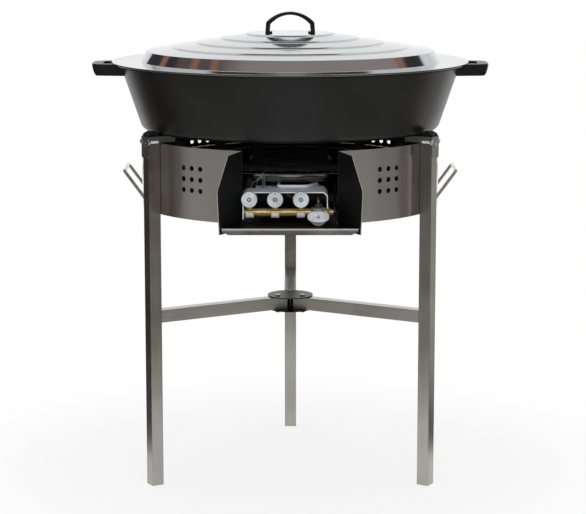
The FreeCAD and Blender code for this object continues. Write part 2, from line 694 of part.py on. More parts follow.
def make_hood_floor():
    """Floor below the bottom plate's front, with a turned-down lip whose lower corners are cut away."""
    body = new_body("hood_floor")
    lip_depth = "(hood_front - lip_setback)"
    splay = "((hood_half - opening_half) / (hood_front - opening_depth))"
    seam = f"(shield_sheet * sqrt(1 + {splay} ^ 2) + side_clearance)"
    front_half = f"(hood_half - lip_setback * {splay} - {seam})"
    rear_half = f"(opening_half - {seam})"
    floor = new_sketch(body, "XY_Plane", "shield_bottom")
    outline(floor, [
        (f"-{rear_half}", "hood_lap - opening_depth"),
        (f"-{rear_half}", "-opening_depth"),
        (f"-{front_half}", f"-{lip_depth}"),
        (front_half, f"-{lip_depth}"),
        (rear_half, "-opening_depth"),
        (rear_half, "hood_lap - opening_depth"),
    ])
    pad(body, floor, "shield_sheet")
    top = "(shield_bottom + shield_sheet)"
    lip = new_sketch(body, "XZ_Plane", f"{lip_depth} - shield_sheet")
    inner_half = f"({front_half} - shield_sheet * {splay})"
    outline(lip, [
        (f"-{inner_half}", top),
        (f"-{inner_half}", f"{top} - lip_height / 2"),
        (f"lip_height - {inner_half}", f"{top} - lip_height", "lip_height / 2"),
        (f"{inner_half} - lip_height", f"{top} - lip_height", "lip_height / 2"),
        (inner_half, f"{top} - lip_height / 2"),
        (inner_half, top),
    ])
    pad(body, lip, "shield_sheet")
    keep(body, "hood_floor")


def make_side_handle(side, sign):
    """Round rod bent to a square loop, welded to the shield's outside and leaning outwards."""
    half = value("handle_width") / 2
    shield = value("shield_radius")
    root = Vector(math.sqrt(shield ** 2 - half ** 2), 0, value("handle_root"))
    grip = Vector(value("handle_reach"), 0, value("handle_top"))
    inside = root - (grip - root) * 0.2
    points = [inside - Vector(0, half, 0), grip - Vector(0, half, 0),
              grip + Vector(0, half, 0), inside + Vector(0, half, 0)]
    placed = [Vector(sign * point.x, point.y, point.z) for point in points]
    rod = shaped("handle_rod_" + side, bent_rod(placed, value("handle_rod"), value("handle_rod") / 2))
    core = cylinder("handle_trim_" + side, "shield_radius", "shield_height", ("0", "0", "shield_bottom"), UP)
    keep(cut("handle_" + side, rod, core), "side_handle_" + side)


# Burner: rings, hangers, mixing tubes, taps and manifold

def make_burner_ring(name):
    keep(burner_torus("burner_" + name, "ring_" + name), "burner_ring_" + name)


def make_hangers():
    """Plates welded between the arms and the burner rings, hollowed to sit on the rings."""
    hangers = []
    for ring in ("outer", "middle", "inner"):
        for side, angle in LEGS:
            name = f"hanger_{ring}_{side}"
            plate = block(name + "_plate",
                          (f"ring_{ring} - hanger_width / 2", "-hanger_sheet / 2", "ring_height"),
                          ("hanger_width", "hanger_sheet", "leg_height - ring_height"))
            hanger = cut(name, plate, burner_torus(name + "_seat", "ring_" + ring))
            hanger.Placement = Placement(Vector(), Rotation(UP, angle))
            hangers.append(hanger)
    keep(group("hangers", hangers), "ring_hangers")


def tap_x(index):
    return f"(tap_left + {index} * tap_pitch)"


def make_mixing_tube(side, index, ring):
    """Open tube from behind a tap to the underside of its ring."""
    across = value(tap_x(index))
    landing = -math.sqrt(value("ring_" + ring) ** 2 - across ** 2)
    points = [Vector(across, -value("mixing_mouth"), value("tap_height")),
              Vector(across, landing, value("tap_height")),
              Vector(across, landing, value("ring_height"))]
    outer_radius = value("mixing_tube") / 2
    outside = shaped("mixing_outside_" + ring, bent_rod(points, value("mixing_bend"), outer_radius))
    inside = shaped("mixing_inside_" + ring,
                    bent_rod(points, value("mixing_bend"), outer_radius - value("mixing_wall")))
    pipe = cut("mixing_pipe_" + ring, outside, inside)
    keep(cut("mixing_" + ring, pipe, burner_torus("mixing_seat_" + ring, "ring_" + ring)),
         "mixing_tube_" + ring)


def manifold_rod(name):
    return cylinder(name, "manifold / 2", "manifold_right - canopy_left - canopy_sheet",
                    ("canopy_left + canopy_sheet", "-manifold_depth", "manifold_height"), RIGHT)


def make_manifold():
    """Brass tube behind the taps, closed at its left end."""
    bore = cylinder("manifold_bore", "manifold / 2 - 2.5", "manifold_right - canopy_left",
                    ("canopy_left + canopy_sheet + 8", "-manifold_depth", "manifold_height"), RIGHT)
    keep(cut("manifold_tube", manifold_rod("manifold_outside"), bore), "gas_manifold")


def make_hose_inlet():
    """Hexagon and spigot on the manifold's right end."""
    spot = ("manifold_right", "-manifold_depth", "manifold_height")
    nut = hexagon("inlet_hexagon", "manifold * 0.62", "inlet_length / 2", spot, RIGHT)
    spigot = cylinder("inlet_spigot", "manifold * 0.4", "inlet_length", spot, RIGHT)
    keep(fuse("inlet", [nut, spigot]), "hose_inlet")


def make_tap(side, index):
    """Brass tap on the manifold: neck, barrel, gland in front and injector behind."""
    across = tap_x(index)
    barrel = cylinder("barrel_" + side, "tap_barrel / 2", "tap_barrel * 2",
                      (across, "-manifold_depth + tap_barrel * 0.85", "tap_height"), FRONT)
    gland = cylinder("gland_" + side, "tap_barrel * 0.38", "tap_barrel * 2 + 2.5",
                     (across, "-manifold_depth + tap_barrel * 0.85", "tap_height"), FRONT)
    neck = cylinder("neck_" + side, "tap_barrel * 0.34", "tap_height - manifold_height",
                    (across, "-manifold_depth", "manifold_height"), UP)
    nose = doc.addObject("Part::Cone", "nose_" + side)
    bind(nose, Radius1="tap_barrel * 0.2", Radius2="tap_barrel * 0.45",
         Height="manifold_depth - mixing_mouth + 4 - tap_barrel * 0.85")
    nose.Placement = Placement(Vector(), Rotation(UP, FRONT))
    for axis, text in (("x", across), ("y", "4 - mixing_mouth"), ("z", "tap_height")):
        nose.setExpression(f"Placement.Base.{axis}", formula(text))
    solid = fuse("tap_solid_" + side, [barrel, gland, neck, nose])
    seated = cut("tap_seated_" + side, solid, manifold_rod("tap_seat_" + side))
    bore = cylinder("tap_bore_" + side, "stem / 2 + bore_clearance", "tap_barrel * 3",
                    (across, "-manifold_depth", "tap_height"), FRONT)
    keep(cut("tap_" + side, seated, bore), "tap_" + side)


def make_clamps():
    """Half-round clamps below the manifold, one under each tap."""
    clamps = []
    for side, index in TAPS:
        start = (f"{tap_x(index)} - clamp_width / 2", "-manifold_depth", "manifold_height")
        outside = cylinder("clamp_outside_" + side, "manifold / 2 + clamp_sheet", "clamp_width", start, RIGHT)
        inside = cylinder("clamp_inside_" + side, "manifold / 2", "clamp_width", start, RIGHT)
        shell = cut("clamp_shell_" + side, outside, inside)
        upper = block("clamp_upper_" + side,
                      (start[0], "-manifold_depth - manifold", "manifold_height"),
                      ("clamp_width", "manifold * 2", "manifold"))
        clamps.append(cut("clamp_" + side, shell, upper))
    keep(group("clamps", clamps), "manifold_clamps")


def make_canopy():
    """Sheet bent over the mixing tubes, with a long left foot, a short right one and a notch
    round the bend of the outer ring's tube."""
    body = new_body("canopy")
    inner = "(canopy_corner - canopy_sheet)"
    profile = new_sketch(body, "XZ_Plane", "canopy_back")
    outline(profile, [
        ("canopy_left", "canopy_top - canopy_left_drop"),
        ("canopy_left + canopy_sheet", "canopy_top - canopy_left_drop"),
        ("canopy_left + canopy_sheet", "canopy_top - canopy_sheet", inner),
        ("canopy_right - canopy_sheet", "canopy_top - canopy_sheet", inner),
        ("canopy_right - canopy_sheet", "canopy_top - canopy_right_drop"),
        ("canopy_right", "canopy_top - canopy_right_drop"),
        ("canopy_right", "canopy_top", "canopy_corner"),
        ("canopy_left", "canopy_top", "canopy_corner"),
    ])
    pad(body, profile, "canopy_depth")
    notch = new_sketch(body, "XY_Plane", "canopy_top + 1")
    notch_half = "(mixing_tube / 2 + 0.8)"
    bend_start = "(sqrt(ring_outer ^ 2 - tap_left ^ 2) + mixing_bend + 1)"
    outline(notch, [
        (f"tap_left - {notch_half}", f"-{bend_start}"),
        (f"tap_left + {notch_half}", f"-{bend_start}", "canopy_sheet"),
        (f"tap_left + {notch_half}", "1 - canopy_back"),
        (f"tap_left - {notch_half}", "1 - canopy_back"),
    ])
    pocket(body, notch, "canopy_corner")
    keep(body, "tap_canopy")


def valve_front(name, radius, height, start, length):
    """Rod in front of the valve's middle, along the main knob's axis."""
    return cylinder(name, radius, length, ("valve_x", f"-valve_depth - {start}", height), FRONT)


def make_safety_valve():
    """Upright valve body with a round housing in front, bored for the manifold and for its own stem."""
    spot = ("valve_x", "-valve_depth", "valve_bottom")
    drum = cylinder("valve_drum", "valve_radius", "valve_top - valve_bottom", spot, UP)
    housing = valve_front("valve_housing", "valve_cup", "valve_cup_height", "boss_length / 4",
                          "boss_length * 0.75")
    solid = fuse("valve_solid", [drum, housing])
    seated = cut("valve_seated", solid, manifold_rod("valve_seat"))
    bore = valve_front("valve_bore", "stem / 2 + bore_clearance", "valve_stem_height", "0",
                       "boss_length + 1")
    keep(cut("valve_body", seated, bore), "safety_valve")
    nut = hexagon("valve_hexagon", "valve_radius * 0.6", "valve_radius * 0.55",
                  ("valve_x", "-valve_depth", "valve_top"))
    pilot_bore = cylinder("valve_nut_bore", "stem / 2", "valve_radius",
                          ("valve_x", "-valve_depth", "valve_top"), UP)
    keep(cut("valve_nut", nut, pilot_bore), "safety_valve_nut")


def make_thermocouple():
    """Capillary from the safety valve to a tip beside the outer ring."""
    radius = value("stem") / 3
    depth = value("valve_depth") + radius * 2
    height = value("valve_stem_height")
    right = value("opening_half") - radius * 3
    behind = value("ring_outer") - value("ring_tube") * 1.8
    points = [Vector(value("valve_x"), -depth, height), Vector(right, -depth, height),
              Vector(right, -behind, height), Vector(right, -behind, value("ring_height + ring_tube * 0.6"))]
    lead = shaped("thermocouple_lead", bent_rod(points, radius * 4, radius))
    drum = cylinder("thermocouple_trim", "valve_radius", "valve_top - valve_bottom",
                    ("valve_x", "-valve_depth", "valve_bottom"), UP)
    housing = valve_front("thermocouple_trim_front", "valve_cup", "valve_cup_height",
                          "boss_length / 4", "boss_length * 0.75")
    keep(cut("thermocouple_cut", lead, fuse("thermocouple_trims", [drum, housing])), "thermocouple")


def make_pilot_tube():
    """Thin gas tube from the valve's nut, under and over the canopy, to the pilot by the rings."""
    radius = value("stem") / 2
    bend = radius * 2.6
    across = value("valve_x")
    depth = value("valve_depth")
    start = value("valve_top + valve_radius * 0.55")
    low = start + bend + 2
    canopy_back = value("canopy_back")
    behind = canopy_back - radius * 3.4
    high = value("canopy_top") + radius + 0.2
    crossing = canopy_back + radius * 12
    right = across - radius * 7
    left = value("tap_left + tap_pitch") + radius * 2
    tip = value("ring_outer") - value("ring_tube") * 2.4
    points = [Vector(across, -depth, start), Vector(across, -depth, low), Vector(across, -behind, low),
              Vector(across, -behind, high), Vector(right, -crossing, high), Vector(left, -crossing, high),
              Vector(left, -tip, high), Vector(left, -tip, value("ring_height"))]
    keep(shaped("pilot", bent_rod(points, bend, radius)), "pilot_tube")


def make_igniter():
    """Ceramic post on the canopy with a steel electrode that points at the outer ring."""
    spot_x = f"({tap_x(0)} + tap_pitch / 2)"
    spot_y = "(-ring_outer - ring_tube * 0.6)"
    post = cylinder("igniter_post", "stem * 0.6", "ring_tube", (spot_x, spot_y, "canopy_top"), UP)
    wire = cylinder("igniter_wire", "stem / 6", "ring_height + ring_tube / 2 - canopy_top",
                    (spot_x, spot_y, "canopy_top"), UP)
    keep(fuse("igniter", [post, wire]), "igniter")


# Controls: stems and knobs

def make_stem(name, length, start):
    """Round stem with a chamfered end, from its start towards the front."""
    stem = turned(name, [
        ("0", "0"),
        ("stem / 3", "0"),
        ("stem / 2", "stem / 6"),
        ("stem / 2", length),
        ("0", length),
    ])
    keep_facing_front(stem, name, *start)


def make_burner_knob(side, index):
    """Round knob on a tap stem."""
    make_stem("tap_stem_" + side, "knob_back - manifold_depth + knob_depth * 0.6 - 1",
              (tap_x(index), "-manifold_depth - 1", "tap_height"))
    body = new_body("knob_" + side)
    revolve(body, outline(new_sketch(body, "XZ_Plane"), [
        ("0", "knob_depth * 0.6"),
        ("stem / 2", "knob_depth * 0.6"),
        ("stem / 2", "0"),
        ("knob_radius * 0.7", "0"),
        ("knob_radius * 0.75", "knob_depth * 0.35"),
        ("knob_radius", "knob_depth * 0.4"),
        ("knob_radius", "knob_depth", "knob_radius / 8"),
        ("knob_radius * 0.32", "knob_depth"),
        ("knob_radius * 0.32", "knob_depth - 1.2"),
        ("0", "knob_depth - 1.2"),
    ]))
    keep_facing_front(body, "burner_knob_" + side, tap_x(index), "-knob_back", "tap_height")


def make_main_knob():
    """Oval push-and-turn knob of the safety valve, on its own stem."""
    make_stem("main_stem", "main_knob_back - valve_boss + main_knob_depth * 0.6 + stem",
              ("valve_x", "-valve_boss + stem", "valve_stem_height"))
    body = new_body("main_knob")
    wide = "main_knob_width / 2"
    tall = "main_knob_height / 2"
    round_end = "main_knob_height * 0.46"
    face = new_sketch(body, "XY_Plane")
    outline(face, [
        (f"-{wide}", f"-{tall}", round_end),
        (wide, f"-{tall}", round_end),
        (wide, tall, round_end),
        (f"-{wide}", tall, round_end),
    ])
    pad(body, face, "main_knob_depth")
    socket = circle(new_sketch(body, "XY_Plane"), "0", "0", "stem / 2")
    pocket(body, socket, "main_knob_depth * 0.6", reverse=True)
    dimple = circle(new_sketch(body, "XY_Plane", "main_knob_depth"), "0", "0", "knob_radius * 0.32")
    pocket(body, dimple, "1.2")
    keep_facing_front(body, "main_knob", "valve_x", "-main_knob_back", "valve_stem_height")


# Pan, lid and lid handle

def make_pan():
    """Deep cast pan with a flat bottom, a flared wall, a flat rim and two looped ears."""
    slope = "((pan_rim_radius - pan_bottom_radius) / pan_height)"
    body = turned("pan", [
        ("0", "pan_base"),
        ("pan_bottom_radius", "pan_base", "pan_corner"),
        (f"pan_rim_radius - pan_flange_sheet * {slope}", "pan_top - pan_flange_sheet"),
        ("pan_flange", "pan_top - pan_flange_sheet"),
        ("pan_flange", "pan_top", "pan_flange_sheet / 3"),
        ("0", "pan_top"),
    ])
    inner = "(pan_bottom_radius + tube)"
    for sign in (-1, 1):
        ear = new_sketch(body, "XY_Plane", "ear_top - ear_height")
        outline(ear, [
            (f"{sign} * {inner}", "-ear_width / 2 - ear_taper"),
            (f"{sign} * ear_reach", "ear_taper - ear_width / 2", "ear_corner"),
            (f"{sign} * ear_reach", "ear_width / 2 - ear_taper", "ear_corner"),
            (f"{sign} * {inner}", "ear_width / 2 + ear_taper"),
        ])
        pad(body, ear, "ear_height")
        slot = new_sketch(body, "XY_Plane", "ear_top + 1")
        outline(slot, [
            (f"{sign} * (ear_reach - ear_bar - ear_slot_width)", "-ear_slot / 2", "ear_slot_width / 2.4"),
            (f"{sign} * (ear_reach - ear_bar)", "-ear_slot / 2", "ear_slot_width / 2.4"),
            (f"{sign} * (ear_reach - ear_bar)", "ear_slot / 2", "ear_slot_width / 2.4"),
            (f"{sign} * (ear_reach - ear_bar - ear_slot_width)", "ear_slot / 2", "ear_slot_width / 2.4"),
        ])
        pocket(body, slot, "ear_height + 2")
        lean = new_sketch(body, "XZ_Plane")
        outline(lean, [
            (f"{sign} * ear_reach", "ear_top - ear_heel"),
            (f"{sign} * (ear_reach - ear_draft)", "ear_top - ear_height + ear_heel"),
            (f"{sign} * (ear_reach - ear_draft - ear_heel)", "ear_top - ear_height"),
            (f"{sign} * (ear_reach - ear_draft - ear_heel)", "ear_top - ear_height - ear_heel"),
            (f"{sign} * (ear_reach + ear_heel)", "ear_top - ear_height - ear_heel"),
            (f"{sign} * (ear_reach + ear_heel)", "ear_top - ear_heel"),
        ])
        pocket(body, lean, "ear_width * 2", middle=True)
    cavity = new_sketch(body, "XZ_Plane")
    outline(cavity, [
        ("0", "pan_base + pan_bottom"),
        (f"pan_bottom_radius - pan_wall + pan_bottom * {slope}", "pan_base + pan_bottom",
         "pan_corner - pan_wall"),
        ("pan_rim_radius - pan_wall", "pan_top"),
        ("0", "pan_top"),
    ])
    revolve(body, cavity, "PartDesign::Groove")
    keep(body, "pan")


def lid_steps():
    """Upper outline of the lid from its centre to its shoulder, as radius and height above its base."""
    spots = [("0", "lid_top"), ("lid_plateau", "lid_top")]
    for tier in range(TIERS):
        step_radius = f"(lid_plateau + {tier / TIERS} * (lid_shoulder - lid_plateau))"
        step_top = f"(lid_top - {tier / TIERS} * (lid_top - lid_shoulder_height))"
        if tier:
            spots.append((step_radius, step_top))
        spots.append((f"{step_radius} + lid_riser * 0.9", f"{step_top} - lid_riser"))
    spots.append(("lid_shoulder", "lid_shoulder_height"))
    return spots


def make_lid():
    """Pressed lid: a flat top, stepped slopes, a steep shoulder and a flat rim with a hem."""
    upper = lid_steps() + [("lid_flange", "lid_sheet"), ("lid_rim", "lid_sheet")]
    lower = [("lid_rim", "-lid_hem"), ("lid_rim - lid_sheet", "-lid_hem"),
             ("lid_rim - lid_sheet", "0"), ("lid_flange - lid_sheet", "0")]
    for radius, height in reversed(lid_steps()[1:]):
        lower.append((f"{radius} - lid_sheet * 0.7", f"{height} - lid_sheet"))
    lower.append(("0", "lid_top - lid_sheet"))
    body = turned("lid", [(radius, f"lid_base + {height}") for radius, height in upper + lower])
    holes = new_sketch(body, "XY_Plane", "lid_base + lid_top + 1")
    for sign in (-1, 1):
        circle(holes, f"{sign} * (grip_half - grip_bar / 2)", "0", "grip_screw / 2")
    pocket(body, holes, "lid_sheet + 2")
    keep(body, "lid")


def make_lid_handle():
    """Strap handle with an arched crown, upright sides and inward feet."""
    body = new_body("lid_handle")
    base = "(lid_base + lid_top)"
    strap = new_sketch(body, "XZ_Plane")
    inner = "(grip_half - grip_bar)"
    foot = "(grip_half - grip_foot)"
    outline(strap, [
        ("-grip_half", base),
        ("-grip_half + 1.5", f"{base} + grip_side", "grip_bar / 2"),
        ("0", f"{base} + grip_apex", "grip_arch"),
        ("grip_half - 1.5", f"{base} + grip_side", "grip_bar / 2"),
        ("grip_half", base),
        (foot, base),
        (foot, f"{base} + grip_bar / 3"),
        (inner, f"{base} + grip_bar / 3"),
        (f"{inner} - 1.5", f"{base} + grip_side - grip_bar / 3", "grip_bar / 3"),
        ("0", f"{base} + grip_inner_apex", "grip_inner_arch"),
        (f"1.5 - {inner}", f"{base} + grip_side - grip_bar / 3", "grip_bar / 3"),
        (f"-{inner}", f"{base} + grip_bar / 3"),
        (f"-{foot}", f"{base} + grip_bar / 3"),
        (f"-{foot}", base),
    ])
    pad(body, strap, "grip_width", middle=True)
    holes = new_sketch(body, "XY_Plane", base)
    for sign in (-1, 1):
        circle(holes, f"{sign} * (grip_half - grip_bar / 2)", "0", "grip_screw / 2")
    pocket(body, holes, "grip_screw * 2", reverse=True)
    keep(body, "lid_handle")


def make_lid_screws():
    """Two screws from inside the lid into the handle's feet."""
    screws = []
    for name, sign in (("left", -1), ("right", 1)):
        across = f"{sign} * (grip_half - grip_bar / 2)"
        under = "lid_base + lid_top - lid_sheet"
        shank = cylinder("lid_shank_" + name, "grip_screw / 2", "lid_sheet + grip_screw * 2",
                         (across, "0", under), UP)
        head = cylinder("lid_head_" + name, "grip_screw", "grip_screw / 2",
                        (across, "0", f"{under} - grip_screw / 2"), UP)
        screws.append(fuse("lid_screw_" + name, [shank, head]))
    keep(group("lid_screw_group", screws), "lid_handle_screws")


for side, angle in LEGS:
    make_leg(side, angle)
    make_brace(side, angle)
    make_arm(side, angle)
    make_pan_stop(side, angle)
make_end_plugs()
make_hub_disc("hub_disc_top", "brace_top")
make_hub_disc("hub_disc_bottom", "brace_top - tube - hub_sheet")
make_hub_bolts()
make_arm_plate()
make_arm_bolts()
make_shield()
make_shield_bolts()
make_bottom_plate()
make_hood_floor()
for side, sign in (("left", -1), ("right", 1)):
    make_cheek(side, sign)
    make_side_handle(side, sign)
make_hangers()
make_manifold()
make_hose_inlet()
make_clamps()
for (side, index), ring in zip(TAPS, ("outer", "middle", "inner")):
    make_burner_ring(ring)
    make_mixing_tube(side, index, ring)
    make_tap(side, index)
    make_burner_knob(side, index)
make_canopy()
make_safety_valve()
make_thermocouple()
make_pilot_tube()
make_igniter()
make_main_knob()
make_pan()
make_lid()
make_lid_handle()
make_lid_screws()
doc.recompute()

failed = [item.Name for item in doc.Objects if "Invalid" in item.State or "Error" in item.State]
if failed:
    raise ValueError("failed: " + ", ".join(failed))
os.makedirs("parts", exist_ok=True)
for part in sub_parts:
    if part.Shape.isNull() or not part.Shape.isValid() or not part.Shape.Solids:
        raise ValueError("bad shape: " + part.Label)
for part in sub_parts:
    part.Shape.exportStep(os.path.join("parts", part.Label + ".step"))
print(len(sub_parts), "sub-parts written")
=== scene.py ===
# %% [markdown]
# # A gas ring burner stand with its pan and lid
# The CAD model gives every piece its size and place, in metres, with the floor at zero and the controls
# towards -Y. This script gives the pieces their edges, finishes and small fastenings, and lights them.

# %% The shared frame
import bmesh
import bpy
import json
import math
from mathutils import Matrix, Vector


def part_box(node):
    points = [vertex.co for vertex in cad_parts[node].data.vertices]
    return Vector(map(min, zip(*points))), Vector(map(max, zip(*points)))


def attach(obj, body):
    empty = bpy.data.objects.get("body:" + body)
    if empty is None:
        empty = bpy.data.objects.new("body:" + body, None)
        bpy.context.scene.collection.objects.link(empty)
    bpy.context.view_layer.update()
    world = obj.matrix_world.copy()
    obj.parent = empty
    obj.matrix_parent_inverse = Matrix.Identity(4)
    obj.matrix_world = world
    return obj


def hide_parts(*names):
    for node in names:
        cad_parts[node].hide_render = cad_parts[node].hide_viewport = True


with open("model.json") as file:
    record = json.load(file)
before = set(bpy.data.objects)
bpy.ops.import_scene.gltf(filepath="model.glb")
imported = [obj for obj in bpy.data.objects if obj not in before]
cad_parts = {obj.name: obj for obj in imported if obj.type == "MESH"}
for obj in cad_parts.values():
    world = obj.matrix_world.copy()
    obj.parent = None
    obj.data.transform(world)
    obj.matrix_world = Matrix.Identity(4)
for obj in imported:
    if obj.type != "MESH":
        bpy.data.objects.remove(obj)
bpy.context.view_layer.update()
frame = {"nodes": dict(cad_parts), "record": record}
nodes = frame["nodes"]
body_of = {name: body for body, names in frame["record"]["behaviour"]["bodies"].items() for name in names}
slot_of = {entry["node"]: entry["material_slot"] for entry in frame["record"]["subparts"]}

# %% [markdown]
# ## Camera
# The photograph was taken with a long lens from the front, a little above the pan. The place and lens come
# from fitting a camera to the legs, the braces and the rims, so a render lies over the photograph.

# %% Camera
LENS_MM = 125.4
EYE = Vector((0.0056, -4.1186, 1.1549))
PITCH_DEGREES = 9.9104
camera_data = bpy.data.cameras.new("camera")
camera_data.lens = LENS_MM
camera_data.sensor_width = 36.0
camera_data.sensor_fit = "HORIZONTAL"
camera = bpy.data.objects.new("camera", camera_data)
camera.location = EYE
camera.rotation_euler = (math.radians(90 - PITCH_DEGREES), 0, 0)
bpy.context.scene.collection.objects.link(camera)
bpy.context.scene.camera = camera
print("camera at", tuple(round(value, 3) for value in EYE))

# %% [markdown]
# ## Shader sums in Python
# A finish is easier to read as a sum than as a web of nodes. `Signal` wraps one output socket and turns +,
# -, * and ** into Math nodes. `Shading` makes any other node of a tree from its type, its settings and the
# values of its sockets. `Finish` is the shading of one material, with its Principled shader.

# %% Signal, one number of a surface
class Signal:
    """One number that changes over a surface."""

    def __init__(self, shading, socket):
        self.shading = shading
        self.socket = socket

    def _sum(self, operation, first, second=0.0):
        node = self.shading.node("ShaderNodeMath", {"operation": operation}, [first, second])
        return Signal(self.shading, node.outputs[0])

    def __add__(self, other):
        return self._sum("ADD", self, other)

    def __radd__(self, other):
        return self._sum("ADD", other, self)

    def __sub__(self, other):
        return self._sum("SUBTRACT", self, other)

    def __rsub__(self, other):
        return self._sum("SUBTRACT", other, self)

    def __mul__(self, other):
        return self._sum("MULTIPLY", self, other)

    def __rmul__(self, other):
        return self._sum("MULTIPLY", other, self)

    def __pow__(self, other):
        return self._sum("POWER", self, other)

    def absolute(self):
        return self._sum("ABSOLUTE", self)

    def angle_over(self, run):
        """Angle whose tangent is this signal over run, in radians."""
        return self._sum("ARCTAN2", self, run)

    def between(self, low, high):
        """0 below low, 1 above high and a soft slope between them."""
        node = self.shading.node("ShaderNodeMapRange", {"interpolation_type": "SMOOTHSTEP"},
                                 {"Value": self, "From Min": low, "From Max": high})
        return Signal(self.shading, node.outputs["Result"])


print("signals ready")

# %% Shading, a tree of nodes, and Finish, the tree of one material
MIX_COLOURS = (6, 7)  # a Mix node's inputs for colours come after those for numbers and vectors
MIX_RESULT = 2


class Shading:
    """The nodes of one material or world."""

    def __init__(self, tree):
        self.tree = tree

    def feed(self, socket, value):
        if isinstance(value, Signal):
            self.tree.links.new(value.socket, socket)
        elif isinstance(value, bpy.types.NodeSocket):
            self.tree.links.new(value, socket)
        elif hasattr(value, "__len__") and socket.type == "RGBA":
            socket.default_value = (*value, 1.0)[:4]
        else:
            socket.default_value = value

    def node(self, kind, settings=None, values=()):
        made = self.tree.nodes.new(kind)
        for name, value in (settings or {}).items():
            setattr(made, name, value)
        pairs = values.items() if isinstance(values, dict) else enumerate(values)
        for key, value in pairs:
            self.feed(made.inputs[key], value)
        return made


class Finish(Shading):
    """One material with a Principled shader, built up call by call."""

    def __init__(self, name, **sockets):
        self.name = name
        self.material = bpy.data.materials.new(name)
        self.material.use_nodes = True
        super().__init__(self.material.node_tree)
        self.shader = self.tree.nodes["Principled BSDF"]
        self.set(**sockets)

    def set(self, **sockets):
        for name, value in sockets.items():
            self.feed(self.shader.inputs[name.replace("_", " ")], value)
        return self

    def place(self):
        return self.node("ShaderNodeTexCoord").outputs["Object"]

    def axes(self):
        """X, Y and Z of the surface, in metres."""
        split = self.node("ShaderNodeSeparateXYZ", values=[self.place()])
        return [Signal(self, socket) for socket in split.outputs]

    def reach(self):
        """Distance from the stand's axis, in metres."""
        across, along = self.axes()[:2]
        return (across * across + along * along) ** 0.5

    def stretched(self, scale):
        """The place on the piece, scaled unequally so that a texture becomes streaks."""
        made = self.node("ShaderNodeVectorMath", {"operation": "MULTIPLY"}, [self.place(), scale])
        return made.outputs[0]

    def noise(self, scale, detail=3.0, vector=None, roughness=0.5):
        made = self.node("ShaderNodeTexNoise", {"noise_dimensions": "3D"},
                         {"Vector": vector or self.place(), "Scale": scale, "Detail": detail,
                          "Roughness": roughness})
        return Signal(self, made.outputs["Fac"])

    def blend(self, factor, dark, light):
        made = self.node("ShaderNodeMix", {"data_type": "RGBA"})
        self.feed(made.inputs["Factor"], factor)
        for index, colour in zip(MIX_COLOURS, (dark, light)):
            self.feed(made.inputs[index], colour)
        return made.outputs[MIX_RESULT]

    def bump(self, height, distance, strength=1.0):
        made = self.node("ShaderNodeBump",
                         values={"Strength": strength, "Distance": distance, "Height": height})
        self.set(Normal=made.outputs["Normal"])
        return self


print("finishes can be made")

# %% [markdown]
# ## Stainless tube and sheet
# The legs and braces are brushed along their length, the shield around its circumference. Fine streaks come
# from a noise texture that is squeezed across the grain. The streaks drive colour, roughness and a very
# shallow bump together, as real scratches do. Cloudy patches add the smears that hands leave.

# %% Brushed steel
NOISE_RANGE = (0.3, 0.7)  # a noise texture seldom leaves it
STREAK_SHARE = 0.35
STREAK_ROUGHNESS = 0.16
SMEAR_ROUGHNESS = 0.14
UPRIGHT_GRAIN = (500, 500, 6)
LEVEL_GRAIN = (6, 6, 500)
ROLLED_GRAIN = (10, 10, 300)


def brushed(name, dark, light, grain, roughness=0.30, smear=9.0, scratch=0.00004):
    """Steel with streaks along the axis that grain leaves small."""
    finish = Finish(name, Metallic=1.0)
    streak = finish.noise(1.0, 4.0, finish.stretched(grain), 0.65)
    cloud = finish.noise(smear, 3.0)
    tone = streak * STREAK_SHARE + cloud * (1 - STREAK_SHARE)
    finish.set(
        Base_Color=finish.blend(tone.between(*NOISE_RANGE), dark, light),
        Roughness=roughness + (streak - 0.5) * STREAK_ROUGHNESS + (cloud - 0.5) * SMEAR_ROUGHNESS,
    )
    return finish.bump(streak, scratch, 0.5)


leg_steel = brushed("leg_steel", (0.335, 0.32, 0.295), (0.46, 0.445, 0.415), UPRIGHT_GRAIN, 0.24)
brace_steel = brushed("brace_steel", (0.47, 0.455, 0.43), (0.60, 0.585, 0.555), LEVEL_GRAIN, 0.30)
# The hub's steel is made near black: painted shade and a painted reflection of the pan's dark underside,
# since the hub stands under the pan.
hub_painted_shade = brushed("hub_painted_shade", (0.020, 0.019, 0.018), (0.045, 0.043, 0.040), (160, 160, 160), 0.34)
arm_steel = brushed("arm_steel", (0.30, 0.295, 0.285), (0.42, 0.415, 0.40), (120, 120, 120), 0.32)
handle_steel = brushed("handle_steel", (0.50, 0.50, 0.49), (0.68, 0.68, 0.67), (200, 40, 200), 0.22)
bolt_steel = brushed("bolt_steel", (0.50, 0.50, 0.48), (0.70, 0.70, 0.68), (400, 400, 400), 0.28)
nut_steel = brushed("nut_steel", (0.16, 0.15, 0.14), (0.34, 0.33, 0.31), (300, 300, 300), 0.32, 60.0)
shield_steel = brushed("shield_steel", (0.66, 0.645, 0.635), (0.76, 0.745, 0.735), ROLLED_GRAIN, 0.20,
                       smear=6.0, scratch=0.000004)
print("brushed steels ready")
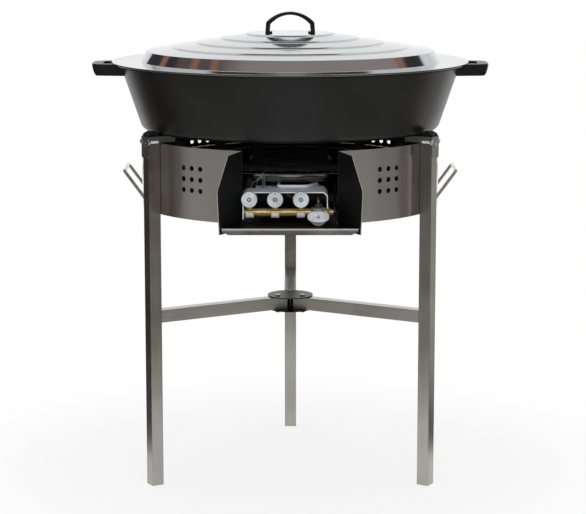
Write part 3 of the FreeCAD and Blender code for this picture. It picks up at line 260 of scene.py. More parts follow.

# %% [markdown]
# ## The lip of the hood
# The hood's floor ends in a narrow lip. It is the same steel, but its rounded upper edge catches the light
# and looks nearly white. That is a painted highlight: up a slope along Z the colour turns near white and the
# steel less metallic. The two heights are measured from the lip's lower edge, which comes from the model.

# %% Steel with a painted highlight on its upper edge
# The lip's painted highlight: the heights over which it fades in, and its near-white colour.
LIP_HIGHLIGHT_FROM = 0.006
LIP_HIGHLIGHT_TO = 0.0145
LIP_PAINTED_HIGHLIGHT = (0.88, 0.87, 0.86)
lip_steel = brushed("lip_steel", (0.30, 0.29, 0.28), (0.66, 0.65, 0.64), (8, 300, 300), 0.20,
                    smear=16.0, scratch=0.00001)
lip_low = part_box("hood_floor")[0][2]
# Painted highlight: near white and less metallic towards the lip's top edge.
lip_painted_highlight = (lip_steel.axes()[2] - lip_low).between(LIP_HIGHLIGHT_FROM, LIP_HIGHLIGHT_TO)
lip_base = lip_steel.shader.inputs["Base Color"].links[0].from_socket
lip_steel.set(
    Base_Color=lip_steel.blend(lip_painted_highlight, lip_base, LIP_PAINTED_HIGHLIGHT),
    Metallic=1.0 - lip_painted_highlight * 0.75,
)
print("lip's edge is", round((LIP_HIGHLIGHT_TO - LIP_HIGHLIGHT_FROM) * 1000, 1), "mm deep")

# %% [markdown]
# ## Paint, zinc, brass and plastic
# The burner and the inside of the shield carry a dull black paint with dust and heat marks. Zinc plating
# looks pale and slightly cloudy. Brass is turned, so it is smooth with small dull spots. The knobs are pale
# cast metal with a fine grain. One function makes them all, because each is a base colour with clouds in
# it, a roughness that follows the clouds, and a fine bump.

# %% Dull and coloured finishes
CLOUDS_PER_PATCH = 8
GRAINS_PER_CLOUD = 25


def dull(name, dark, light, roughness, scale=40.0, depth=0.0001, **sockets):
    finish = Finish(name, **sockets)
    cloud = finish.noise(scale, 5.0, roughness=0.6)
    patch = finish.noise(scale / CLOUDS_PER_PATCH, 2.0)
    finish.set(
        Base_Color=finish.blend((cloud * 0.5 + patch * 0.5).between(*NOISE_RANGE), dark, light),
        Roughness=roughness + (patch - 0.5) * 0.2,
    )
    return finish.bump(finish.noise(scale * GRAINS_PER_CLOUD, 3.0), depth, 0.4)


PAINT = {"Specular_IOR_Level": 0.2}  # dull paint mirrors little
black_steel = dull("black_steel", (0.006, 0.006, 0.006), (0.020, 0.019, 0.018), 0.5, **PAINT)
hood_black = dull("hood_black", (0.003, 0.003, 0.003), (0.007, 0.007, 0.007), 0.46, 22.0, **PAINT)
# Near black for the arms' side faces under the pan: painted shade and a painted reflection of the dark
# inside of the shield.
arm_painted_shade = dull("arm_painted_shade", (0.004, 0.004, 0.004), (0.012, 0.012, 0.011), 0.5, **PAINT)
stop_black = dull("stop_black", (0.004, 0.004, 0.004), (0.009, 0.009, 0.009), 0.6, **PAINT)
plug_black = dull("plug_black", (0.010, 0.010, 0.011), (0.022, 0.022, 0.022), 0.6, **PAINT)
grip_black = dull("grip_black", (0.006, 0.006, 0.007), (0.013, 0.013, 0.014), 0.30, 50.0, 0.00005, **PAINT)
ring_black = dull("ring_black", (0.10, 0.098, 0.095), (0.20, 0.195, 0.19), 0.16, 60.0, 0.00006, Metallic=1.0)
valve_dark = dull("valve_dark", (0.32, 0.30, 0.27), (0.52, 0.49, 0.44), 0.42, Metallic=0.3)
knob_grey = dull("knob_grey", (0.33, 0.35, 0.375), (0.58, 0.605, 0.635), 0.42, 420.0, 0.00018)
canopy_grey = dull("canopy_grey", (0.52, 0.58, 0.65), (0.70, 0.76, 0.83), 0.40, 25.0, 0.00006, Metallic=0.05)
clamp_steel = dull("clamp_steel", (0.62, 0.63, 0.64), (0.80, 0.81, 0.82), 0.38, 120.0, 0.00005, Metallic=0.1)
ceramic = dull("ceramic", (0.07, 0.068, 0.064), (0.13, 0.125, 0.118), 0.3, 90.0, 0.00003, Coat_Weight=0.3)
brass = dull("brass", (0.66, 0.47, 0.19), (0.92, 0.74, 0.40), 0.26, 70.0, 0.00004, Metallic=0.75)
sleeve_black = dull("sleeve_black", (0.005, 0.005, 0.005), (0.012, 0.012, 0.012), 0.5, 120.0, **PAINT)
copper = dull("copper", (0.32, 0.13, 0.08), (0.58, 0.28, 0.17), 0.34, 90.0, 0.00004, Metallic=1.0)
# Near-black painted shade for the inside of holes and of sunk screw seats.
hole_painted_shade = dull("hole_painted_shade", (0.002, 0.002, 0.002), (0.006, 0.005, 0.005), 0.8, 300.0, **PAINT)
print("dull finishes ready")

# %% [markdown]
# ## Pan and lid
# The pan is a casting with a black satin coat: nearly black, but bright where light grazes it. The lid is
# polished stainless. Spinning on the lathe leaves very fine rings in it, so its noise is read along the
# distance from the axis only.

# %% Pan coat and lid polish
SPIN_RINGS = 1800  # rings that the lathe leaves in one metre
PAN_DARK, PAN_LIGHT = (0.0026, 0.0027, 0.0029), (0.0052, 0.0053, 0.0055)
LID_DARK, LID_LIGHT = (0.46, 0.485, 0.50), (0.52, 0.545, 0.56)

pan_black = Finish("pan_black", Specular_IOR_Level=0.5)
pan_cloud = pan_black.noise(14.0, 4.0)
pan_speck = pan_black.noise(900.0, 2.0)
pan_black.set(
    Base_Color=pan_black.blend(pan_cloud.between(*NOISE_RANGE), PAN_DARK, PAN_LIGHT),
    Roughness=0.34 + (pan_cloud - 0.5) * 0.10 + (pan_speck - 0.5) * 0.12,
)
pan_black.bump(pan_speck, 0.00010, 0.5)

lid_steel = Finish("lid_steel", Metallic=1.0)
ring_place = lid_steel.node("ShaderNodeCombineXYZ", values=[lid_steel.reach() * SPIN_RINGS, 0.0, 0.0])
lid_rings = lid_steel.noise(1.0, 3.0, ring_place.outputs[0], 0.7)
lid_cloud = lid_steel.noise(6.0, 3.0)
lid_steel.set(
    Base_Color=lid_steel.blend(lid_cloud.between(*NOISE_RANGE), LID_DARK, LID_LIGHT),
    Roughness=0.085 + (lid_rings - 0.5) * 0.05 + (lid_cloud - 0.5) * 0.04,
)
lid_steel.bump(lid_rings, 0.00001, 0.3)
print("pan and lid finishes ready")

# %% [markdown]
# ## Joining pieces to the model
# Every piece that is made here rides on a body of the model, so it moves with the right joint. It may stand
# for a CAD node, which is then hidden. One function does both.

# %% Finishes by slot, and the way a piece is added
FINISHES = {finish.name: finish for finish in (
    leg_steel, arm_steel, handle_steel, shield_steel, bolt_steel, clamp_steel, lid_steel, pan_black,
    hood_black, black_steel, stop_black, plug_black, grip_black, knob_grey, canopy_grey, valve_dark,
    brass, copper, ceramic)}


def add_piece(name, mesh, node, *stands_for, slot=None):
    """Put a finished mesh in the scene on the body of a node, and hide the nodes it stands for; slot is not
    used.
    """
    piece = bpy.data.objects.new(name, mesh)
    bpy.context.scene.collection.objects.link(piece)
    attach(piece, body_of[node])
    if stands_for:
        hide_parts(*stands_for)
    return piece


print("finishes by slot:", len(FINISHES))

# %% [markdown]
# ## Knobs
# The burner knobs are discs that grow slightly towards the front, with shallow grooves round the side, and
# a screw sunk in a raised ring. A lathe turns a profile into rings of vertices: the side rings take the
# grooves as a small wave in their radius. The main knob is a flat oval, so its rings follow a superellipse.

# %% Lathe along the knobs' axis
def lathe(profile, spot, outline_at, segments):
    """Skin of rings; profile holds (scale, metres forward), outline_at(turn, step) the ring's X and Z."""
    work = bmesh.new()
    rings = []
    for step, (scale, forward) in enumerate(profile):
        if scale == 0:
            rings.append([work.verts.new((spot[0], spot[1] - forward, spot[2]))])
            continue
        ring = []
        for index in range(segments):
            across, up = outline_at(math.tau * index / segments, step)
            ring.append(work.verts.new((spot[0] + across * scale, spot[1] - forward, spot[2] + up * scale)))
        rings.append(ring)
    for first, second in zip(rings, rings[1:]):
        for index in range(segments):
            following = (index + 1) % segments
            corners = [first[index % len(first)], first[following % len(first)],
                       second[following % len(second)], second[index % len(second)]]
            work.faces.new(list(dict.fromkeys(corners)))  # beside a pole, two corners are one
    bmesh.ops.recalc_face_normals(work, faces=work.faces)
    return work


def smooth_faces(work, turn_degrees):
    """Shade every face smooth and mark the edges at which the surface turns by more than the angle."""
    for face in work.faces:
        face.smooth = True
    for edge in work.edges:
        edge.smooth = edge.is_manifold and edge.calc_face_angle(0.0) < math.radians(turn_degrees)


def finish_mesh(work, name, *finishes, turn_degrees=32, dark=None):
    """Mesh of a bmesh; the second finish goes on the faces whose middle dark() accepts."""
    smooth_faces(work, turn_degrees)
    if dark:
        for face in work.faces:
            face.material_index = int(dark(face.calc_center_median()))
    mesh = bpy.data.meshes.new(name)
    work.to_mesh(mesh)
    work.free()
    for finish in finishes:
        mesh.materials.append(finish.material)
    return mesh


def plain_ring(turn, step):
    return math.cos(turn), math.sin(turn)


print("lathe ready")

# %% Rings with grooves and oval rings
GROOVED_STEPS = range(2, 4)
GROOVE_SHARE = 0.012


def knob_ring(radius, grooves):
    def outline_at(turn, step):
        wave = GROOVE_SHARE * math.cos(grooves * turn) if step in GROOVED_STEPS else 0.0
        return radius * (1 + wave) * math.cos(turn), radius * (1 + wave) * math.sin(turn)
    return outline_at


def oval_ring(half_width, half_height, power):
    def outline_at(turn, step):
        across, up = math.cos(turn), math.sin(turn)
        return (half_width * math.copysign(abs(across) ** (2 / power), across),
                half_height * math.copysign(abs(up) ** (2 / power), up))
    return outline_at


def near_axis(spot, reach):
    """Test for places closer to a knob's axis than reach."""
    return lambda place: math.hypot(place.x - spot[0], place.z - spot[2]) < reach


def knob_axis(node):
    """Back and front end of a knob's axis, half its width and half its height."""
    low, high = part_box(node)
    across = (low[0] + high[0]) / 2
    up = (low[2] + high[2]) / 2
    return (across, high[1], up), (across, low[1], up), (high[0] - low[0]) / 2, (high[2] - low[2]) / 2


print("knob outlines ready")

# %% Burner knobs and the main knob
BURNERS = ("left", "centre", "right")
KNOB_GROOVES = 30
KNOB_FACE = [(0.93, 0.0), (0.955, 0.0008), (0.965, 0.002), (0.985, 0.0125), (1.0, 0.0145), (0.998, 0.0168),
             (0.965, 0.0178), (0.90, 0.0180), (0.84, 0.0175), (0.32, 0.0173), (0.30, 0.0180), (0.27, 0.0180),
             (0.25, 0.0174), (0.24, 0.0150), (0.0, 0.0150)]
MAIN_FACE = [(0.90, 0.0), (0.95, 0.0008), (0.985, 0.003), (1.0, 0.006), (0.995, 0.0095), (0.96, 0.0113),
             (0.90, 0.0119), (0.84, 0.0118), (0.5, 0.0116), (0.25, 0.0116), (0.0, 0.0116)]
SUNK_SHARE = 0.25  # share of a burner knob's radius inside which its screw hole lies
OVAL_POWER = 2.5  # 2 would be an ellipse, more is nearer to a rectangle
for burner in BURNERS:
    node = "burner_knob_" + burner
    back, front, radius, _ = knob_axis(node)
    work = lathe(KNOB_FACE, back, knob_ring(radius, KNOB_GROOVES), 120)
    # The sunk middle round the screw gets painted shade.
    is_sunk = near_axis(back, radius * SUNK_SHARE)
    mesh = finish_mesh(work, node + "_turned", knob_grey, hole_painted_shade, dark=is_sunk)
    add_piece(node + "_turned", mesh, node, node)
main_back, _, half_width, half_height = knob_axis("main_knob")
work = lathe(MAIN_FACE, main_back, oval_ring(half_width, half_height, OVAL_POWER), 96)
add_piece("main_knob_turned", finish_mesh(work, "main_knob_turned", knob_grey), "main_knob", "main_knob")
print("knobs turned")

# %% [markdown]
# ## Knob screws
# Each knob is held by one small screw on the stem. It has a domed head with a hexagonal socket. The head is
# a lathe form again, and the socket is the inner rings taken as a hexagon. The main knob's screw sits in a
# low collar.

# %% Screws in the knobs
HEAD_STEPS = 5  # the profile's first points are the round head, the rest is the socket


def screw(name, node, spot, radius, height):
    def outline_at(turn, step):
        if step < HEAD_STEPS:
            return radius * math.cos(turn), radius * math.sin(turn)
        sector = (turn % (math.pi / 3)) - math.pi / 6
        reach = radius * math.cos(math.pi / 6) / math.cos(sector)
        return reach * math.cos(turn), reach * math.sin(turn)
    profile = [(1.0, 0.0), (1.0, height * 0.5), (0.93, height * 0.85), (0.75, height), (0.62, height),
               (0.55, height), (0.53, height * 0.3), (0.0, height * 0.3)]
    work = lathe(profile, spot, outline_at, 48)
    mesh = finish_mesh(work, name, clamp_steel, bolt_steel, dark=near_axis(spot, radius * 0.45))
    add_piece(name, mesh, node, slot="bolt_steel")


SCREW_SUNK = 0.0031
COLLAR_BACK, COLLAR_RADIUS, COLLAR_HOLE = 0.0115, 0.0036, 0.0029
MAIN_SCREW_BACK = 0.0118
COLLAR_FACE = [(1.0, 0.0), (1.0, 0.0008), (0.93, 0.0011), (0.80, 0.0011), (0.74, 0.0006), (0.0, 0.0006)]
for burner in BURNERS:
    node = "burner_knob_" + burner
    front = knob_axis(node)[1]
    screw(node + "_screw", node, (front[0], front[1] + SCREW_SUNK, front[2]), 0.0021, 0.0028)
across, back, up = main_back
work = lathe(COLLAR_FACE, (across, back - COLLAR_BACK, up), knob_ring(COLLAR_RADIUS, 0), 48)
# The collar's middle round the screw gets painted shade too.
mesh = finish_mesh(work, "main_knob_collar", knob_grey, hole_painted_shade, dark=near_axis(main_back, COLLAR_HOLE))
add_piece("main_knob_collar", mesh, "main_knob")
screw("main_knob_screw", "main_knob", (across, back - MAIN_SCREW_BACK, up), 0.0018, 0.0012)
print("screws set")

# %% [markdown]
# ## Pointer marks
# A short dark line near the edge of each burner knob shows which way it is turned. It is a small grid that
# narrows outwards, thickened a little and laid on the knob's face, so it turns with the knob.

# %% Pointer marks
MARK_HALF_WIDTH = 0.00045
MARK_NARROWING = 0.3
MARK_MIDDLE, MARK_HALF_LENGTH = 0.72, 0.12  # shares of the knob's radius
MARK_SUNK = 0.0004
MARK_THICKNESS = 0.0003
for burner in BURNERS:
    node = "burner_knob_" + burner
    _, front, radius, _ = knob_axis(node)
    mark = bmesh.new()
    bmesh.ops.create_grid(mark, x_segments=2, y_segments=6, size=1.0)
    for corner in mark.verts:
        across, along = corner.co.x, corner.co.y
        aside = across * MARK_HALF_WIDTH * (1.0 - MARK_NARROWING * along)
        up = radius * (MARK_MIDDLE + MARK_HALF_LENGTH * along)
        corner.co = (front[0] + aside, front[1] + MARK_SUNK, front[2] + up)
    bmesh.ops.solidify(mark, geom=mark.faces, thickness=MARK_THICKNESS)
    bmesh.ops.recalc_face_normals(mark, faces=mark.faces)
    add_piece(node + "_mark", finish_mesh(mark, node + "_mark", nut_steel), node, slot="bolt_steel")
print("pointer marks set")

# %% [markdown]
# ## Things that repeat
# The rivets on the hood, the rims of the gas ports and the dark discs in them all repeat one small form.
# Geometry Nodes place it: a plain mesh carries the points and the direction each one looks along, and a
# node tree puts a small stepped disc on every point. Inputs are named, so the same tree serves all three.

# %% A node tree for studs
def build_tree(name, inputs):
    tree = bpy.data.node_groups.new(name, "GeometryNodeTree")
    tree.interface.new_socket("Geometry", in_out="INPUT", socket_type="NodeSocketGeometry")
    for label, kind, value in inputs:
        socket = tree.interface.new_socket(label, in_out="INPUT", socket_type=kind)
        if value is not None:
            socket.default_value = value
    tree.interface.new_socket("Geometry", in_out="OUTPUT", socket_type="NodeSocketGeometry")
    return tree, tree.nodes.new("NodeGroupInput"), tree.nodes.new("NodeGroupOutput")


def grow(tree, kind, settings=None, **links):
    made = tree.nodes.new(kind)
    for name, value in (settings or {}).items():
        setattr(made, name, value)
    for name, value in links.items():
        socket = made.inputs[name.replace("_", " ")]
        if isinstance(value, bpy.types.NodeSocket):
            tree.links.new(value, socket)
        else:
            socket.default_value = value
    return made


studs, stud_in, stud_out = build_tree("studs", [
    ("Radius", "NodeSocketFloat", 0.003), ("Height", "NodeSocketFloat", 0.001),
    ("Top Share", "NodeSocketFloat", 0.6), ("Sides", "NodeSocketInt", 12),
    ("Material", "NodeSocketMaterial", None)])
top_radius = grow(studs, "ShaderNodeMath", {"operation": "MULTIPLY"})
studs.links.new(stud_in.outputs["Radius"], top_radius.inputs[0])
studs.links.new(stud_in.outputs["Top Share"], top_radius.inputs[1])
form = grow(studs, "GeometryNodeMeshCone", Vertices=stud_in.outputs["Sides"],
            Radius_Top=top_radius.outputs[0], Radius_Bottom=stud_in.outputs["Radius"],
            Depth=stud_in.outputs["Height"])
aim = grow(studs, "GeometryNodeInputNamedAttribute", {"data_type": "FLOAT_VECTOR"}, Name="aim")
turned_to = grow(studs, "FunctionNodeAlignRotationToVector", {"axis": "Z"}, Vector=aim.outputs["Attribute"])
placed = grow(studs, "GeometryNodeInstanceOnPoints", Points=stud_in.outputs["Geometry"],
              Instance=form.outputs["Mesh"], Rotation=turned_to.outputs["Rotation"])
solid = grow(studs, "GeometryNodeRealizeInstances", Geometry=placed.outputs["Instances"])
coated = grow(studs, "GeometryNodeSetMaterial", Geometry=solid.outputs["Geometry"],
              Material=stud_in.outputs["Material"])
studs.links.new(coated.outputs["Geometry"], stud_out.inputs["Geometry"])
print("studs tree has", len(studs.nodes), "nodes")

# %% Running the tree
def stud_mesh(name, spots, finish, **sizes):
    """Run the studs tree on (place, direction) pairs and return the plain mesh it makes."""
    points = bpy.data.meshes.new(name + "_points")
    points.from_pydata([place for place, way in spots], [], [])
    look = points.attributes.new("aim", "FLOAT_VECTOR", "POINT")
    look.data.foreach_set("vector", [value for place, way in spots for value in way])
    carrier = bpy.data.objects.new(name + "_carrier", points)
    bpy.context.scene.collection.objects.link(carrier)
    modifier = carrier.modifiers.new("studs", "NODES")
    modifier.node_group = studs
    wanted = {label.replace("_", " "): value for label, value in sizes.items()}
    wanted["Material"] = finish.material
    for item in studs.interface.items_tree:
        if item.item_type == "SOCKET" and item.in_out == "INPUT" and item.name in wanted:
            modifier[item.identifier] = wanted[item.name]
    graph = bpy.context.evaluated_depsgraph_get()
    mesh = bpy.data.meshes.new_from_object(carrier.evaluated_get(graph), depsgraph=graph)
    mesh.name = name
    carrier.modifiers.remove(modifier)
    bpy.data.objects.remove(carrier)
    print(name, len(spots), "studs,", len(mesh.polygons), "faces")
    return mesh


print("studs can be placed")

# %% [markdown]
# ## Gas ports
# Each ring is a tube with two rows of drilled holes, one on each side of its crown. A real hole in so long
# a tube would need many thin triangles, and seen from outside it is only a dark dot with a bright rim. So
# each port is a low rim of the ring's black steel with a near-black disc in it: painted shade for the hole.

# %% Ports on the burner rings
PORT_SPACING = 0.016
PORT_LEAN_DEGREES = 38
PORT_SUNK = 0.0001
HOLE_RAISED = 0.0003
PORT_RIM = {"Radius": 0.0021, "Height": 0.0004, "Top_Share": 0.8, "Sides": 10}
PORT_HOLE = {"Radius": 0.0013, "Height": 0.0002, "Top_Share": 0.95, "Sides": 10}
for ring in ("outer", "middle", "inner"):
    node = "burner_ring_" + ring
    low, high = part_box(node)
    tube = (high[2] - low[2]) / 2
    reach = (high[0] - low[0]) / 2 - tube
    level = (high[2] + low[2]) / 2
    count = round(math.tau * reach / PORT_SPACING)
    spots = []
    for lean in (-PORT_LEAN_DEGREES, PORT_LEAN_DEGREES):
        tilt = math.radians(lean)
        for index in range(count):
            turn = math.tau * (index + (0.5 if lean > 0 else 0.0)) / count
            way = Vector((math.sin(tilt) * math.cos(turn), math.sin(tilt) * math.sin(turn), math.cos(tilt)))
            crown = Vector((reach * math.cos(turn), reach * math.sin(turn), level))
            spots.append((crown + way * (tube - PORT_SUNK), way))
    add_piece(node + "_port_rims", stud_mesh(node + "_port_rims", spots, black_steel, **PORT_RIM), node)
    hole_spots = [(place + way * HOLE_RAISED, way) for place, way in spots]
    add_piece(node + "_ports", stud_mesh(node + "_ports", hole_spots, hole_painted_shade, **PORT_HOLE), node)

# %% [markdown]
# ## Rivets
# Three flat rivets hold each cheek's tab to the shield. Their direction is the tab's own, square to the
# shield.

# %% Rivets on the cheek tabs
TAB_START = 0.0014  # cheek's inner face to the start of its tab
TAB_MIDDLE = 0.0070
RIVET_SEAT = 0.0018
RIVET_SHARES = (0.12, 0.5, 0.88)  # of the shield's height
RIVET = {"Radius": 0.0032, "Height": 0.0012, "Top_Share": 0.55, "Sides": 20}
shield_low, shield_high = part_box("wind_shield")
shield_reach = shield_high[1]
for side, sign in (("left", -1), ("right", 1)):
    node = "hood_cheek_" + side
    low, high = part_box(node)
    opening = min(abs(low[0]), abs(high[0])) + TAB_START
    turn = math.asin(opening / shield_reach) + TAB_MIDDLE / shield_reach
    way = Vector((sign * math.sin(turn), -math.cos(turn), 0.0))
    seat = way * (shield_reach + RIVET_SEAT)
    spots = []
    for share in RIVET_SHARES:
        height = shield_low[2] + share * (shield_high[2] - shield_low[2])
        spots.append((seat + Vector((0, 0, height)), way))
    rivets = stud_mesh(node + "_rivets", spots, bolt_steel, **RIVET)
    add_piece(node + "_rivets", rivets, node, slot="bolt_steel")

# %% [markdown]
# ## Thin wires
# Wires, leads and threaded rods are all long and round. Each is a smooth NURBS curve with a round bevel,
# turned into a mesh, because a curve keeps its bend even when it is thin.

# %% Round wires
def wire(name, node, points, thickness, finish, slot):
    """Smooth round wire through its control points, as a mesh."""
    curve = bpy.data.curves.new(name, "CURVE")
    curve.dimensions = "3D"
    curve.bevel_depth = thickness / 2
    curve.bevel_resolution = 2
    curve.resolution_u = 8
    curve.use_fill_caps = True
    spline = curve.splines.new("NURBS")
    spline.points.add(len(points) - 1)
    for target, point in zip(spline.points, points):
        target.co = (*point, 1.0)
    spline.order_u = 3
    spline.use_endpoint_u = True
    bent = bpy.data.objects.new(name + "_curve", curve)
    bpy.context.scene.collection.objects.link(bent)
    graph = bpy.context.evaluated_depsgraph_get()
    mesh = bpy.data.meshes.new_from_object(bent.evaluated_get(graph), depsgraph=graph)
    bpy.data.objects.remove(bent)
    mesh.name = name
    for polygon in mesh.polygons:
        polygon.use_smooth = True
    mesh.materials.clear()
    mesh.materials.append(finish.material)
    return add_piece(name, mesh, node, slot=slot)


print("wires can be bent")

# %% [markdown]
# ## Igniter
# The igniter is a slim ceramic post with a collar at its foot and a steel electrode on top. Three bare thin
# wires run from it down to the canopy. The post and the electrode are lathe forms that stand upright, so
# the lathe's axis is turned from forwards to upwards.

# %% Igniter post, electrode and wires
def upright(profile, spot, name, finish, segments=32):
    """Lathe form about a vertical axis; profile holds (radius, height above the spot)."""
    work = lathe(profile, (0, 0, 0), plain_ring, segments)
    work.transform(Matrix.Translation(spot) @ Matrix.Rotation(math.radians(-90), 4, "X"))
    bmesh.ops.recalc_face_normals(work, faces=work.faces)
    return finish_mesh(work, name, finish)


def middle(node):
    low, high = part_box(node)
    return [(low[axis] + high[axis]) / 2 for axis in range(3)]


post_low, post_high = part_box("igniter")
post = middle("igniter")
tall = post_high[2] - post_low[2]
foot = Vector((post[0], post[1], post_low[2]))
POST_PROFILE = [(0.0, 0.0), (0.0020, 0.0), (0.0021, 0.0008), (0.0022, 0.0010), (0.0022, 0.0022),
                (0.0012, 0.0026), (0.0011, tall * 0.40), (0.0008, tall * 0.45), (0.0, tall * 0.45)]
TIP_PROFILE = [(0.0, tall * 0.5), (0.0007, tall * 0.5), (0.0007, tall * 0.96), (0.0004, tall), (0.0, tall)]
add_piece("igniter_post", upright(POST_PROFILE, foot, "igniter_post", ceramic), "igniter", "igniter")
tip_mesh = upright(TIP_PROFILE, foot, "igniter_tip", bolt_steel, 16)
add_piece("igniter_tip", tip_mesh, "igniter", slot="bolt_steel")

canopy_low, canopy_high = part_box("tap_canopy")
IGNITER_WIRE = 0.0011
WIRE_BOWS = ((-0.020, 0.022), (-0.011, 0.030), (0.004, 0.031))  # how far aside, and how high
for index, (lean, rise) in enumerate(WIRE_BOWS):
    wire(f"igniter_wire_{index}", "igniter", [
        (post[0] + 0.0026, post[1] - 0.0005, post_low[2] + tall * 0.52),
        (post[0] + 0.006 + lean * 0.1, post[1] - 0.004, post_low[2] + tall * 0.72),
        (post[0] + lean * 0.5, post[1] - 0.006, post_low[2] + rise * 0.8),
        (post[0] + lean, post[1] - 0.004, post_low[2] + rise * 0.45),
        (post[0] + lean * 1.15, post[1] - 0.002, canopy_high[2] - 0.0004),
    ], IGNITER_WIRE, bolt_steel, "bolt_steel")
print("igniter made,", round(tall * 1000, 1), "mm tall")

# %% [markdown]
# ## Leads of the tap and the valve
# A thin copper lead hangs from the canopy's front edge to the right tap, and a black sleeved one loops over
# the safety valve. Both routes are a few control points chosen beside the pieces they join.

# %% Leads
TAP_LEAD = 0.0013
VALVE_LEAD = 0.0011
tap_low, tap_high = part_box("tap_right")
wire("tap_lead", "tap_right", [
    (tap_low[0] - 0.022, canopy_low[1] + 0.006, canopy_high[2] - 0.0012),
    (tap_low[0] - 0.016, canopy_low[1] + 0.003, canopy_high[2] - 0.006),
    (tap_low[0] - 0.006, canopy_low[1] + 0.004, canopy_high[2] - 0.013),
    (tap_low[0] + 0.002, canopy_low[1] + 0.008, tap_high[2] - 0.008),
], TAP_LEAD, copper, "copper")
valve_low, valve_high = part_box("safety_valve")
wire("valve_lead", "safety_valve", [
    (valve_low[0] + 0.004, valve_low[1] + 0.004, valve_high[2] - 0.004),
    (valve_low[0] + 0.002, valve_low[1] + 0.001, valve_high[2] + 0.006),
    (valve_low[0] + 0.010, valve_low[1] - 0.001, valve_high[2] + 0.010),
    (valve_low[0] + 0.019, valve_low[1] + 0.001, valve_high[2] + 0.007),
    (valve_high[0] - 0.004, valve_low[1] + 0.005, valve_high[2] - 0.006),
], VALVE_LEAD, sleeve_black, "copper")
print("leads made")

# %% [markdown]
# ## Bolts in the arm ends
# Each arm ends in a bracket over its leg. A threaded rod lies along each side of the bracket, half sunk in
# it, with a nut at its outer end. The rod is a straight wire, and the nut is a lathe form with six segments.

# %% Threaded rods and nuts
LEGS = ("left", "right", "rear")
NUT_PROFILE = [(0.0, 0.0), (0.00476, 0.0), (0.0056, 0.0007), (0.0056, 0.0033), (0.00476, 0.0040),
               (0.0, 0.0040)]
ROD_THICKNESS = 0.0052
ROD_REACHES = (0.3055, 0.3140, 0.3240)
ROD_HEIGHT = 0.6915
BRACKET_HALF_WIDTH = 0.0147


def direction_of(leg):
    """Level direction from the stand's axis to a leg."""
    across, along, _ = middle("leg_" + leg)
    return Vector((across, along, 0)).normalized()


for leg in LEGS:
    outward = direction_of(leg)
    across = Vector((-outward.y, outward.x, 0))
    turned = Vector((0, -1, 0)).rotation_difference(outward).to_matrix().to_4x4()
    for face, sign in (("a", -1), ("b", 1)):
        base = across * sign * BRACKET_HALF_WIDTH + Vector((0, 0, ROD_HEIGHT))
        wire(f"arm_rod_{leg}_{face}", "arm_bolts", [base + outward * reach for reach in ROD_REACHES],
             ROD_THICKNESS, clamp_steel, "bolt_steel")
        nut = f"arm_nut_{leg}_{face}"
        work = lathe(NUT_PROFILE, (0, 0, 0), plain_ring, 6)
        work.transform(Matrix.Translation(base + outward * ROD_REACHES[-1]) @ turned)
        bmesh.ops.recalc_face_normals(work, faces=work.faces)
        add_piece(nut, finish_mesh(work, nut, handle_steel), "arm_bolts", slot="bolt_steel")
print("arm bolts set")

# %% [markdown]
# ## Edges
# A CAD solid has perfectly sharp edges, and real sheet and castings don't: a narrow bright line runs along
# each one. So every node that isn't made above is copied and its loose triangles are joined. Where its edges
# show, a small bevel rounds them. Round surfaces are shaded smooth, with a split wherever the surface turns
# by more than the given angle.

# %% Edged copies of the CAD nodes
MERGE_WITHIN = 0.000002
SLIVER = 0.000001


def joined_copy(node, turn_degrees):
    """Copy of a node's mesh with its doubles merged and its sharp edges marked."""
    mesh = nodes[node].data.copy()
    mesh.name = node + "_dressed"
    mesh.materials.clear()
    work = bmesh.new()
    work.from_mesh(mesh)
    bmesh.ops.remove_doubles(work, verts=work.verts, dist=MERGE_WITHIN)
    bmesh.ops.dissolve_degenerate(work, edges=work.edges, dist=SLIVER)
    smooth_faces(work, turn_degrees)
    work.to_mesh(mesh)
    work.free()
    return mesh


def dress(node, finish, width, turn_degrees=32):
    """Copy of a node that stands for it, with joined triangles and edges rounded by width."""
    mesh = joined_copy(node, turn_degrees)
    mesh.materials.append(finish.material)
    piece = add_piece(node + "_dressed", mesh, node, node)
    if width:
        bevel = piece.modifiers.new("edges", "BEVEL")
        bevel.width = width
        bevel.segments = 2
        bevel.limit_method = "ANGLE"
        bevel.angle_limit = math.radians(turn_degrees)
        bevel.use_clamp_overlap = True
        bevel.harden_normals = True


print("nodes can be dressed")

# %% Every node that isn't made above
EDGE_WIDTHS = {  # by the start of a node's name; the longest that fits counts
    "leg_": 0.0008, "brace_": 0.0008, "hub_disc": 0.0004, "hub_nuts": 0.0003, "support_arm": 0.0004,
    "arm_centre": 0.0004, "pan_stop": 0.0008, "hood_floor": 0.0005, "hood_cheek": 0.0004,
    "ring_hangers": 0.0003, "tap_canopy": 0.0004, "safety_valve": 0.0008, "hose_inlet": 0.0003,
    "manifold_clamps": 0.0004, "pan": 0.0012, "lid": 0.0007, "lid_handle": 0.0009, "lid_handle_screws": 0.0,
}
OWN_FINISHES = {  # nodes whose finish isn't the one of their slot
    # The hub's finish carries painted shade.
    "hub_disc_top": hub_painted_shade, "hub_disc_bottom": hub_painted_shade, "hub_nuts": hub_painted_shade,
    "brace_left": brace_steel, "brace_right": brace_steel, "brace_rear": brace_steel,
    "burner_ring_outer": ring_black, "safety_valve_nut": nut_steel, "thermocouple": nut_steel,
}
MADE_ABOVE = {"main_knob", "igniter"} | {"burner_knob_" + burner for burner in BURNERS}
for node in sorted(set(nodes) - MADE_ABOVE):
    start = max((key for key in EDGE_WIDTHS if node.startswith(key)), key=len, default=None)
    dress(node, OWN_FINISHES.get(node) or FINISHES[slot_of[node]], EDGE_WIDTHS.get(start, 0.0))
print("dressed", len(nodes) - len(MADE_ABOVE), "nodes")

